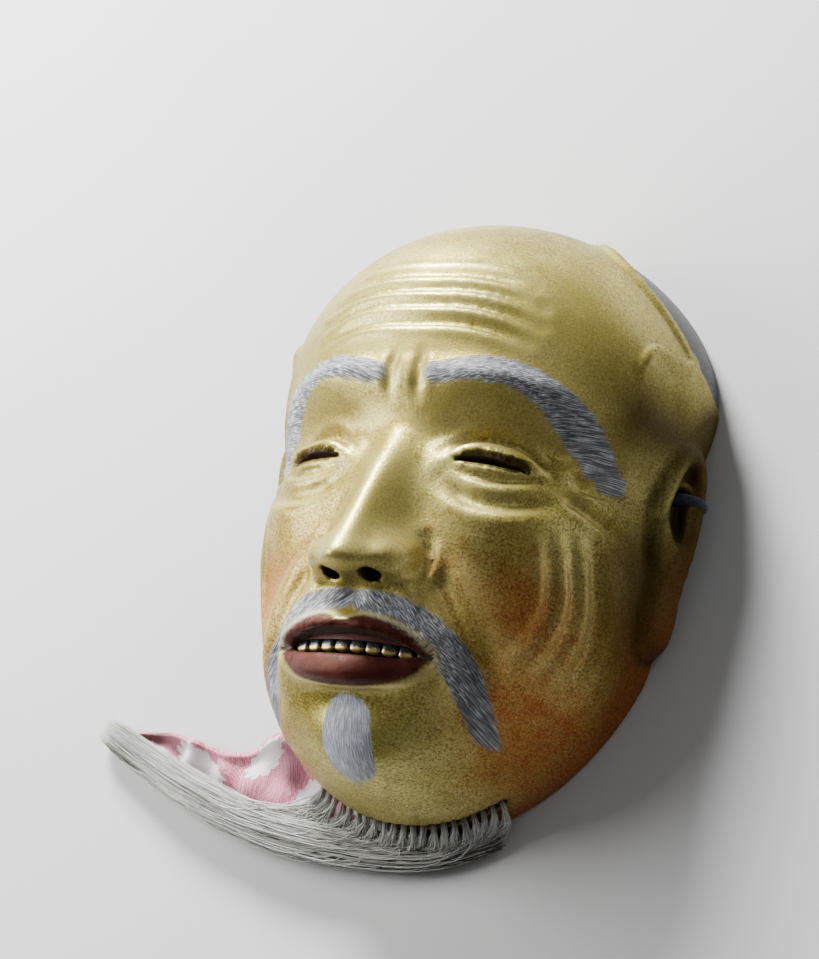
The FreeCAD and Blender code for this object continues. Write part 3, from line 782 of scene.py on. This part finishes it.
def cord_material():
    """Braided navy silk, lighter on the crowns of its strands and darker in the grooves between them as
    painted shade.
    """
    make = Shader("navy_silk_braid", Specular_IOR_Level=0.35, Sheen_Weight=0.5, Sheen_Roughness=0.35)
    fibres = make.noise(0.3, 3, 0.7)
    # Painted shade: the grooves between the strands are darker than the crowns.
    colour = make.fade(make.attribute("crown"), 0.25, 0.95, (0.003, 0.004, 0.009), (0.016, 0.02, 0.046))
    colour = make.fade(fibres, 0.5, 0.75, colour, (0.03, 0.036, 0.07), 0.5)
    rough = make.steps(fibres, 0.3, 0.7, 0.48, 0.68)
    return make.finish(Base_Color=colour, Roughness=rough, Normal=make.relief((fibres, 0.08, 0.6)))


def cloth_material():
    """Figured silk: white leaves on pink, a fine twill in both, and a dark red back, which also serves as
    painted shade under the tufts and beside the jaw.
    """
    make = Shader("pink_brocade", Specular_IOR_Level=0.35, Sheen_Weight=0.35, Sheen_Roughness=0.4)

    def wave(place, scale, distortion, direction="X"):
        inputs = {"Vector": place, "Scale": scale, "Distortion": distortion}
        return make.node("TexWave", inputs, bands_direction=direction).outputs["Fac"]

    thread = make.times(wave(make.place(), 620.0, 1.0, "DIAGONAL"), wave(make.place((1, -1, 1)), 480.0, 1.4))
    wander = make.node("TexNoise", {"Vector": make.place(), "Scale": 90.0, "Detail": 4.0}).outputs["Color"]
    rib = make.steps(wave(make.mix(0.016, make.place(), wander, "ADD"), 170.0, 5.0), 0.6, 0.9)
    leaf_height = make.attribute("leaf")
    leaf = make.steps(leaf_height, 0.42, 0.58)
    edge = make.times(make.steps(leaf_height, 0.2, 0.35), make.steps(leaf_height, 0.65, 0.5))
    pink = make.fade(thread, 0.1, 0.6, (0.42, 0.105, 0.17), (0.70, 0.27, 0.36))
    pink = make.mix(make.times(rib, 0.4), pink, (0.72, 0.42, 0.49))
    pink = make.fade(make.noise(9, 3), 0.45, 0.7, pink, (0.33, 0.065, 0.12), 0.35)
    white = make.fade(thread, 0.1, 0.6, (0.60, 0.53, 0.54), (0.82, 0.79, 0.79))
    white = make.mix(make.times(rib, 0.35), white, (0.72, 0.55, 0.59))
    colour = make.mix(leaf, pink, white)
    colour = make.mix(make.times(edge, 0.5), colour, (0.55, 0.20, 0.28))
    red = make.fade(thread, 0.1, 0.7, (0.07, 0.010, 0.018), (0.20, 0.04, 0.065))
    colour = make.mix(make.attribute("reverse_and_shade"), colour, red)
    rough = make.steps(thread, 0.1, 0.8, 0.62, 0.42)
    relief = make.relief((thread, 0.12, 0.8), (leaf, 0.10, 0.6))
    return make.finish(Base_Color=colour, Roughness=rough, Normal=relief)


def tooth_material():
    """Blackened teeth with gold rubbed on their lower edges."""
    make = Shader("black_and_gold_teeth", Coat_Weight=0.5, Coat_Roughness=0.15)
    chips = make.noise(0.9, 4, 0.7)
    tip = make.math("ADD", make.attribute("tip"), make.steps(chips, 0.3, 0.7, -0.35, 0.35))
    gold = make.steps(tip, 0.5, 0.75)
    black = make.fade(chips, 0.4, 0.7, (0.007, 0.007, 0.01), (0.03, 0.028, 0.034))
    colour = make.mix(gold, black, (0.50, 0.36, 0.12))
    rough = make.steps(chips, 0.3, 0.7, 0.22, 0.42)
    relief = make.relief((chips, 0.1, 0.5))
    return make.finish(Base_Color=colour, Roughness=rough, Metallic=make.times(gold, 0.7), Normal=relief)


def gum_material():
    make = Shader("dark_red_lacquer", Coat_Weight=0.4, Coat_Roughness=0.2)
    tone = make.noise(1.6, 4, 0.6)
    colour = make.fade(tone, 0.35, 0.7, (0.13, 0.022, 0.022), (0.055, 0.012, 0.014))
    rough = make.steps(tone, 0.3, 0.7, 0.3, 0.45)
    return make.finish(Base_Color=colour, Roughness=rough, Normal=make.relief((tone, 0.15, 0.5)))


def bamboo_material():
    make = Shader("split_bamboo", Roughness=0.6)
    fibre = make.noise(0.35, 3, 0.7, make.place((1, 0.15, 0.2)))
    colour = make.fade(fibre, 0.35, 0.65, (0.12, 0.07, 0.035), (0.30, 0.20, 0.10))
    return make.finish(Base_Color=colour, Normal=make.relief((fibre, 0.06, 0.7)))


# ---- mask

PAINT_DEPTH = 1.3


def mask():
    """The carved shell, with bare wood wherever it lies deeper than the paint on its outer surface."""
    points, faces = mask_mesh()
    half = folded(points)
    skin = union(outside(half, True), ear(half), 3.0)
    at_back = (skin < -PAINT_DEPTH)[faces].mean(axis=1) > 0.5
    attributes = paint(points) | toning(points) | {"cavity": cavity(points, point_normals(points, faces))}
    materials = gold_material(), back_material()
    drawn = points, faces, attributes, *materials
    piece("mask_carving", "gilded_cypress", ["mask_shell"], *drawn, material_index=at_back.astype(np.int32))


# ---- cords

# The left cord's corners, in metres: its stop knot, the hole in the ear, the mask's edge and the hollow back.
CORD_ROUTE = [
    (0.0550, 0.0140, 0.0150),
    (0.0755, 0.0140, 0.0150),
    (0.0755, 0.0140, 0.0020),
    (0.0580, 0.0170, 0.0020),
    (0.0440, 0.0110, 0.0020),
]
CORD_RADIUS = 0.0018
COIL_MIDDLE = (0.031, 0.034)
COIL_POINTS = 16
# The coil: turns so far, radius and height in millimetres. Each layer lies in the grooves of the last.
COIL_STAGES = (
    (0, 24.0, 2.0), (2.6, 14.6, 2.0), (3.0, 16.4, 5.1),
    (4.6, 22.2, 5.1), (5.0, 20.3, 8.2), (6.25, 17.5, 10.2),
)


def coil_points():
    """The coil's turns as points of the cord's own spline, wound clockwise as seen from above."""
    turns, radii, heights = np.array(COIL_STAGES).T
    steps = np.arange(int(turns[-1] * COIL_POINTS) + 1) / COIL_POINTS
    loose = 0.35 * np.sin(steps * 5.3) + 0.25 * np.sin(steps * 11.9)
    radius = (np.interp(steps, turns, radii) + loose) * MM
    angle = -math.pi / 2 - 2 * math.pi * steps
    x = COIL_MIDDLE[0] + radius * np.cos(angle)
    y = COIL_MIDDLE[1] + radius * np.sin(angle)
    return list(zip(x, y, np.interp(steps, turns, heights) * MM))


def cord_line(points):
    """The points along one smooth spline through the cord's corners."""
    curve = bpy.data.curves.new("cord_line", "CURVE")
    curve.dimensions, curve.resolution_u = "3D", 10
    spline = curve.splines.new("NURBS")
    spline.points.add(len(points) - 1)
    for point, place in zip(spline.points, points):
        point.co = (*place, 1)
    spline.order_u, spline.use_endpoint_u = 3, True
    made = placed("cord_line", curve)
    line = np.array([vertex.co for vertex in bpy.data.meshes.new_from_object(made).vertices])
    bpy.data.objects.remove(made)
    return line


def run_along(line):
    return np.concatenate(([0], np.cumsum(np.linalg.norm(np.diff(line, axis=0), axis=1))))


def evenly(line, step):
    """The same line with its points a step apart."""
    run = run_along(line)
    places = np.linspace(0, run[-1], int(run[-1] / step) + 1)
    return np.stack([np.interp(places, run, line[:, axis]) for axis in range(3)], axis=-1)


def braid(name, nodes, line, radius, material, looped=False):
    """A round braid of eight strands along a line in millimetres, with its crowns standing out a little."""
    sides, strands, lay, relief = 24, 4, 7.0, 0.13
    angle = strands * circle(sides) / 2
    twist = 2 * math.pi * run_along(line)[:, None] / lay
    # crown is 1 on a strand's crown and 0 in the grooves. The cord's colour uses it for painted shade.
    crown = np.maximum(np.abs(np.sin(angle + twist)), np.abs(np.sin(angle - twist)))
    rings = tube_rings(line[None], np.ones((1, len(line))), sides)[0]
    rings = line[:, None] + unit(rings - line[:, None]) * (radius - relief + relief * crown)[..., None]
    faces = tube_faces((1, len(line), sides), looped)
    return piece(name, "silk_cord", nodes, rings, faces, {"crown": crown}, material)


def knot(name, node, middle, size, radius, material):
    """A small tight overhand knot round the end of the cord."""
    turn = circle(96)
    line = (np.sin(turn) + 2 * np.sin(2 * turn), np.cos(turn) - 2 * np.cos(2 * turn), -np.sin(3 * turn))
    line = np.stack(line, axis=-1) * size / 3 + middle / MM
    return braid(name, [node], line, radius, material, looped=True)


def cords():
    material = cord_material()
    for side, sign in SIDES.items():
        mirror = np.array((sign, 1, 1))
        corners = [tuple(np.array(point) * mirror) for point in CORD_ROUTE + coil_points()]
        line = evenly(cord_line(corners), 0.0006)
        nodes = [f"{side}_cord", f"{side}_cord_coil"]
        tube = braid(f"{side}_ear_cord", nodes, line / MM, CORD_RADIUS / MM, material)
        stop = knot(f"{side}_stop_knot_tied", f"{side}_stop_knot", line[0], 2.8, 1.5, material)
        past_end = line[-1] + np.array((0, 0, 0.0015))
        end = knot(f"{side}_end_knot_tied", f"{side}_end_knot", past_end, 2.0, 1.3, material)


# ---- beard

# The lock's stations, as in the CAD: where its middle is, then its half width and its half height.
LOCK = (
    (28, -98, 2.3, 2.2),
    (16, -104, 3.6, 3.4),
    (0, -107, 4.9, 4.7),
    (-20, -107.5, 5.6, 5.4),
    (-44, -105.5, 6.2, 5.8),
    (-68, -100.5, 6.2, 5.4),
    (-90, -92.5, 5.6, 4.8),
    (-110, -83.5, 4.6, 4.0),
    (-127, -74.5, 3.0, 2.8),
)
CLOTH_THICK = 1.2
LOCK_SAMPLES, LOCK_STEPS, STRAND_SAMPLES = 160, 7, 27
TUFT_HAIRS, LOCK_HAIRS = 84, 1150


def lock_line():
    """The lock's middle, half width, half height and sideways direction at even steps from root to tip."""
    line = smooth_curve(LOCK, LOCK_SAMPLES)
    middle = np.column_stack((line[:, :2], CLOTH_THICK + line[:, 3]))
    forward = unit(np.gradient(middle, axis=0))
    across = unit(np.cross(forward, np.array((0.0, 0.0, 1.0))))
    return middle, line[:, 2], line[:, 3], across


def in_lock(share, side, height, lock):
    """Points in the lock at a share of its length. side and height run from -1 to 1 across it."""
    middle, half_width, half_height, across = lock
    place = np.clip(share, 0, 1) * (LOCK_SAMPLES - 1)
    low = np.minimum(place.astype(int), LOCK_SAMPLES - 2)
    part = (place - low)[..., None]

    def at(values):
        return values[low] * (1 - part) + values[low + 1] * part

    point = at(middle) + at(across) * at(half_width[:, None]) * side[..., None]
    point[..., 2] += at(half_height[:, None])[..., 0] * height
    return point


def disc(count, spread=1.0):
    """Random places in a disc."""
    angle = random.uniform(0, 2 * math.pi, count)
    radius = spread * np.sqrt(random.uniform(0, 1, count))
    return radius * np.cos(angle), radius * np.sin(angle)


def strands(name, node, corners, radius, shade, root_share, material):
    """Thin hairs along smooth lines. root_share is the part of each that is brown."""
    sides, shade = 3, shade[:, None]
    paths = smooth_curves(corners, STRAND_SAMPLES)
    along = np.linspace(0, 1, STRAND_SAMPLES)[None]
    radii = radius[:, None] * (1 - 0.75 * along**4)
    paths[..., 2] = np.maximum(paths[..., 2], radii + 0.85)
    attributes = {
        "shade": np.clip(shade + 0.10 * np.sin(9 * along + 40 * shade), 0, 1),
        "root": np.clip(1 - along / np.maximum(root_share[:, None], 1e-3), 0, 1),
        # low is painted shade: 1 where a hair lies on the cloth, 0 from 2.2 mm up.
        "low": np.clip((2.2 - paths[..., 2]) / 2.2, 0, 1),
    }
    attributes = {key: np.repeat(values.reshape(-1), sides) for key, values in attributes.items()}
    rings = tube_rings(paths, radii, sides)
    piece(name, "horsehair", [node], rings, tube_faces(rings.shape[:3]), attributes, material)


def through_lock(start, end, side, height, lock):
    """The points of each hair while it is in the lock. Hairs cross over each other a little on their way."""
    share = start[:, None] + (end - start)[:, None] * np.linspace(0, 1, LOCK_STEPS)[None] ** 0.9
    drift = random.uniform(-0.42, 0.42, (2, len(start), 1)) * np.linspace(-1, 1, LOCK_STEPS)
    wave = random.uniform(-0.09, 0.09, (2, len(start), LOCK_STEPS))
    return in_lock(share, side[:, None] + drift[0] + wave[0], height[:, None] + drift[1] + wave[1], lock)


def tuft(number, root, direction, lock, material):
    """One bundle of hair from its hole in the jaw, bending down and sideways into the lock."""
    count = TUFT_HAIRS
    joins = np.interp(-(root[0] - 7), -lock[0][:, 0], np.linspace(0, 1, LOCK_SAMPLES))
    start = joins + random.uniform(-0.03, 0.15, count) + random.uniform(-0.015, 0.015)
    end = start + (1.02 - start) * random.uniform(0.35, 1.0, count) ** 0.5
    side, height = disc(count)
    across = unit(np.cross(direction, np.array((0.0, 0.0, 1.0))))
    u, v = disc(count, 0.78)
    offset = u[:, None] * across + v[:, None] * np.cross(across, direction)
    lean = direction + np.array((random.uniform(-0.42, 0.02), 0, random.uniform(-0.15, 0.1)))
    near = root + offset
    length = random.uniform(0.75, 1.2, count)[:, None] * random.uniform(0.85, 1.1)
    spread = np.interp(root[0], (-30, -5, 30), (1.5, 1.0, 0.35))
    fan = spread * random.normal(0, 0.4, count)[:, None] * across
    low = side[:, None] * np.array((0.0, -1.6, 0.0))
    low = low - np.array((0, 0, 1.0)) * random.uniform(0.4, 1.6, count)[:, None]
    corners = [
        near - direction * 3,
        near + direction * 1.2,
        near + offset * 0.4 + length * (lean * 3.8 + np.array((-0.4, 0, -0.6))) + fan,
        near + offset * 1.0 + length * (lean * 6.0 + np.array((-2.4, 0, -3.0))) + 3 * fan + low,
    ]
    rest = through_lock(start, end, side, 0.2 + 0.75 * height, lock)
    whole = np.concatenate((np.stack(corners, axis=1), rest), axis=1)
    shade = np.clip(random.normal(0.74, 0.27, count) + random.uniform(-0.12, 0.12), 0.03, 1)
    brown = 0.16 * random.uniform(0.5, 1.2, count)
    name, node = f"beard_hair_{number:02d}", f"beard_tuft_{number:02d}"
    strands(name, node, whole, random.uniform(0.10, 0.17, count), shade, brown, material)


def lock_hair(lock, material):
    """The long hairs round the lock, from every part of the chin, over a dense middle."""
    count = LOCK_HAIRS
    start = random.uniform(0.0, 0.62, count) ** 1.15
    end = np.minimum(start + random.uniform(0.35, 1.05, count), random.uniform(0.95, 1.0, count))
    steps = np.linspace(0, 1, LOCK_STEPS)[None]
    share = start[:, None] + (end - start)[:, None] * steps
    angle = random.uniform(-0.3, 1.3, (count, 1)) * math.pi
    angle = angle + random.normal(0, 0.35, (count, 1)) * (steps - 0.5)
    out = random.uniform(0.72, 1.04, (count, 1)) + random.uniform(-0.04, 0.04, (count, LOCK_STEPS))
    out = out * (1 + 0.45 * smoothstep((share - 0.84) / 0.16))
    corners = in_lock(share, out * np.cos(angle), out * np.sin(angle), lock)
    dark = random.uniform(0, 1, count) < 0.44
    shade = np.where(dark, random.normal(0.10, 0.08, count), random.normal(0.48, 0.24, count))
    radius = random.uniform(0.11, 0.19, count)
    no_brown = np.full(count, 0.001)
    strands("beard_lock_hair", "beard_lock", corners, radius, np.clip(shade, 0.03, 1), no_brown, material)


def lock_core(lock, material):
    """The dense middle of the lock, combed lengthwise, so that the loose hairs have something to lie on. Its
    dark colour is painted shade inside the lock.
    """
    middle, half_width, half_height, across = lock
    sides = 48
    turn = circle(sides)
    comb = 0.70 + 0.035 * np.sin(turn * 13 + 1.0) + 0.025 * np.sin(turn * 29)
    along = np.linspace(0, 1, LOCK_SAMPLES)
    taper = np.sqrt(np.clip(along * 14, 0, 1) * np.clip((1 - along) * 22, 0.02, 1))[:, None]
    side = np.cos(turn) * comb * half_width[:, None] * taper
    points = middle[:, None] + across[:, None] * side[..., None]
    points[..., 2] += np.sin(turn) * comb * half_height[:, None] * taper
    # Painted shade: the core is nearly black, like the shade between the loose hairs.
    shade = np.tile(0.16 + 0.08 * np.sin(turn * 17), LOCK_SAMPLES)
    # The low part of the core gets the same painted shade.
    low = np.clip((3.5 - points[..., 2].ravel()) / 3.5, 0, 1)
    attributes = {"shade": shade, "root": np.zeros(len(shade)), "low": low}
    faces = tube_faces((1, LOCK_SAMPLES, sides))
    piece("beard_lock_core", "horsehair", [], points, faces, attributes, material)


def beard():
    lock, material = lock_line(), hair_material()
    for number, (root, direction) in enumerate(zip(*tuft_roots()), start=1):
        tuft(number, root, direction, lock, material)
    lock_hair(lock, material)
    lock_core(lock, material)


# ---- cloth

# The cloth's edge along the mask and its edge under the lock, both from right to left. Points (x, y).
CLOTH_INNER = (
    (21, -98), (14, -100), (-4, -101.5), (-24, -97.5), (-42, -84), (-52, -71),
    (-61, -72), (-71, -79), (-85, -77.5), (-99, -73.5), (-112, -74), (-119, -77),
)
CLOTH_OUTER = (
    (21, -103), (14, -106), (0, -109.5), (-16, -111), (-30, -111), (-46, -110),
    (-60, -107), (-72, -104), (-86, -99), (-98, -94), (-110, -88), (-121, -81),
)
CLOTH_ALONG, CLOTH_ACROSS, CLOTH_SHEET = 330, 80, 0.45
# The white leaves on the cloth: the middle of each as (x, y), its half length, its half width and its turn.
LEAVES = (
    (-87, -84, 12, 4.4, -30),
    (-62, -80, 9, 4.2, 40),
    (-107, -80, 5.5, 2.4, -12),
    (-72, -97, 9, 3.6, -12),
    (-44, -92, 9, 4.6, 55),
    (-28, -104, 8, 3.8, 10),
    (-99, -92, 7, 3.0, -35),
)


def cloth_height(across, x, y):
    """The sheet's height above the floor: soft folds, a rolled inner edge and a rise against the jaw."""
    fold = 0.9 * np.sin(0.22 * x + 0.31 * y + 1.2 * np.sin(0.05 * x)) + 0.5 * np.sin(0.47 * x - 0.2 * y + 2.0)
    crease = 1.9 * np.exp(-np.abs((0.75 * (x + 74) + 0.66 * (y + 88)) / 1.6))
    pleat = 2.6 * bell(0.86 * (x + 92) - 0.5 * (y + 82), 3.2) * (1 - across)
    rolled = 1.9 * bell(across - 0.07, 0.07)
    at_jaw = 5.0 * bell(x + 53, 8.0) * np.clip(1 - across * 1.6, 0, 1)
    free = smoothstep((-x - 30) / 16) * smoothstep((x + 121) / 10)
    open_part = smoothstep((0.78 - across) / 0.45)
    return 0.35 + free * (open_part * (1.5 + fold + crease + pleat) + rolled + at_jaw)


def leaf_share(x, y):
    """1 on the white leaves of the cloth's figure, 0 on its pink ground. The leaves have scalloped edges."""
    share = np.zeros(x.shape)
    for middle_x, middle_y, half_length, half_width, degrees in LEAVES:
        turn = math.radians(degrees)
        along = ((x - middle_x) * math.cos(turn) + (y - middle_y) * math.sin(turn)) / half_length
        across = ((y - middle_y) * math.cos(turn) - (x - middle_x) * math.sin(turn)) / half_width
        angle = np.arctan2(across, along)
        reach = np.hypot(along, across) + 0.10 * np.sin(11 * angle) + 0.05 * np.sin(23 * angle + 1)
        share = np.maximum(share, smoothstep((1.1 - reach) / 0.2))
    return share


def cloth_faces(count):
    """The faces of the sheet's two sides and of the rim between them."""
    index = np.arange(count).reshape(CLOTH_ALONG, CLOTH_ACROSS)
    quads = np.stack((index[:-1, :-1], index[:-1, 1:], index[1:, 1:], index[1:, :-1]), axis=-1).reshape(-1, 4)
    rim = np.concatenate((index[:, 0], index[-1, 1:], index[-2::-1, -1], index[0, -2:0:-1]))
    after = np.roll(rim, -1)
    sides = np.stack((rim, after, after + count, rim + count), axis=-1)
    return np.concatenate((quads, quads[:, ::-1] + count, sides))


def cloth():
    inner, outer = (smooth_curve(edge, CLOTH_ALONG)[:, None] for edge in (CLOTH_INNER, CLOTH_OUTER))
    along = np.linspace(0, 1, CLOTH_ALONG)[:, None]
    across = np.linspace(0, 1, CLOTH_ACROSS)[None]
    flat = inner + (outer - inner) * across[..., None]
    x, y = flat[..., 0], flat[..., 1]
    height = np.maximum(cloth_height(across, x, y), 0.25)
    points = np.stack([np.stack((x, y, height + lift), axis=-1) for lift in (CLOTH_SHEET, -0.2)])
    # Painted shade: the dark red of the underside is put on the flat cloth under the tufts and where the
    # cloth rises beside the jaw. Near the tip the rolled edge shows the real underside.
    bare = (x + 34) / 12
    tip = bell(along - 0.90, 0.05) * smoothstep((0.34 - across) / 0.1)
    shade_beside_jaw = 0.9 * bell(x + 51, 4.5) * smoothstep((0.5 - across) / 0.15)
    reverse_and_shade = np.clip(np.maximum.reduce((bare, tip, shade_beside_jaw)), 0, 1)
    attributes = {
        "reverse_and_shade": np.concatenate((reverse_and_shade.ravel(), np.ones(x.size))),
        "leaf": np.concatenate((leaf_share(x, y).ravel(), np.zeros(x.size))),
    }
    nodes, faces = ["beard_cloth"], cloth_faces(x.size)
    made = piece("brocade_cloth", "silk_brocade", nodes, points, faces, attributes, cloth_material())


# ---- mouth

TEETH, TOOTH_PITCH = 8, 6.5
TOOTH_SIZE = (2.35, 1.85, 1.45)
TOOTH_UP, TOOTH_ARC, ARC_OUT = -61.6, 44.0, 31.5


def squared(value):
    return np.sign(value) * np.abs(value) ** 0.55


def teeth():
    """A row of rounded teeth on an arc round the Y axis, each a little different."""
    rounds, rings = 24, 15
    turn = -circle(rounds)
    rise = np.linspace(-math.pi / 2, math.pi / 2, rings)[:, None]
    width, up = squared(np.cos(rise)), squared(np.sin(rise)) + 0 * turn
    form = np.stack((width * squared(np.cos(turn)), up, width * squared(np.sin(turn))), axis=-1)
    size = np.array(TOOTH_SIZE) * random.uniform(0.94, 1.03, (TEETH, 1, 1, 3))
    x, y, z = np.moveaxis(form * size, -1, 0)
    z = z + TOOTH_ARC
    lean = np.radians(TOOTH_PITCH * (np.arange(TEETH) - (TEETH - 1) / 2))[:, None, None]
    across = x * np.cos(lean) + z * np.sin(lean)
    out = z * np.cos(lean) - x * np.sin(lean) + ARC_OUT
    points = np.stack((across, y + TOOTH_UP, out), axis=-1)
    tip = np.tile(np.clip(0.35 - up, 0, 1), (TEETH, 1))
    faces = tube_faces((TEETH, rings, rounds))
    piece("blackened_teeth", "black_lacquer", ["upper_teeth"], points, faces, {"tip": tip}, tooth_material())


def cad_materials():
    """The gum and the wedges keep their CAD shape."""
    for name, material in (("upper_gum", gum_material()), ("tuft_wedges", bamboo_material())):
        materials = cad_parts[name].data.materials
        materials.clear()
        materials.append(material)


# ---- stage

AWAY = Vector((0.45, -0.34, 0.826)).normalized()
IMAGE_UP = Vector((-0.03, 0.917, 0.39))
TARGET = Vector((-0.0122, 0.007, 0.0395))
DISTANCE = 0.7266
WORLD_LIGHT = 0.18
FLOOR_HALF = 3.0
# Each lamp's place and size in metres and its power in watts.
LAMPS = {
    "key": ((-0.40, 0.80, 0.47), 0.34, 50),
    "left": ((-0.50, 0.0, 0.42), 0.45, 7),
    "right": ((0.8, 0.4, 0.9), 0.5, 1.0),
}


def aim(obj, at, up):
    """Turns an object to look at a point, with its own +Y as near to up as it can be."""
    back = (obj.location - at).normalized()
    right = up.cross(back).normalized()
    turn = Matrix((right, back.cross(right), back)).transposed()
    obj.matrix_world = Matrix.Translation(obj.location) @ turn.to_4x4()


def camera():
    lens = bpy.data.cameras.new("camera")
    lens.lens, lens.sensor_width, lens.sensor_height, lens.sensor_fit = 85, 36, 36, "AUTO"
    made = placed("camera", lens)
    made.location = TARGET + AWAY * DISTANCE
    aim(made, TARGET, IMAGE_UP)
    bpy.context.scene.camera = made


def lamps():
    for name, (place, size, power) in LAMPS.items():
        light = bpy.data.lights.new(name, "AREA")
        light.shape, light.size, light.energy = "DISK", size, power
        made = placed(name, light)
        made.location = place
        aim(made, Vector((0, 0, 0.03)), Vector((0.01, 1, 0.02)))


def stage():
    corners = [(x * FLOOR_HALF, y * FLOOR_HALF, 0) for x, y in ((-1, -1), (1, -1), (1, 1), (-1, 1))]
    floor = bpy.data.meshes.new("floor")
    floor.from_pydata(corners, [], [(0, 1, 2, 3)])
    floor.materials.append(floor_material())
    placed("floor", floor)
    world = bpy.data.worlds.new("studio")
    world.use_nodes = True
    background = world.node_tree.nodes["Background"]
    background.inputs["Color"].default_value = (1, 1, 1, 1)
    background.inputs["Strength"].default_value = WORLD_LIGHT
    bpy.context.scene.world = world


def main():
    camera()
    stage()
    lamps()
    cords()
    beard()
    cloth()
    teeth()
    cad_materials()
    mask()


main()
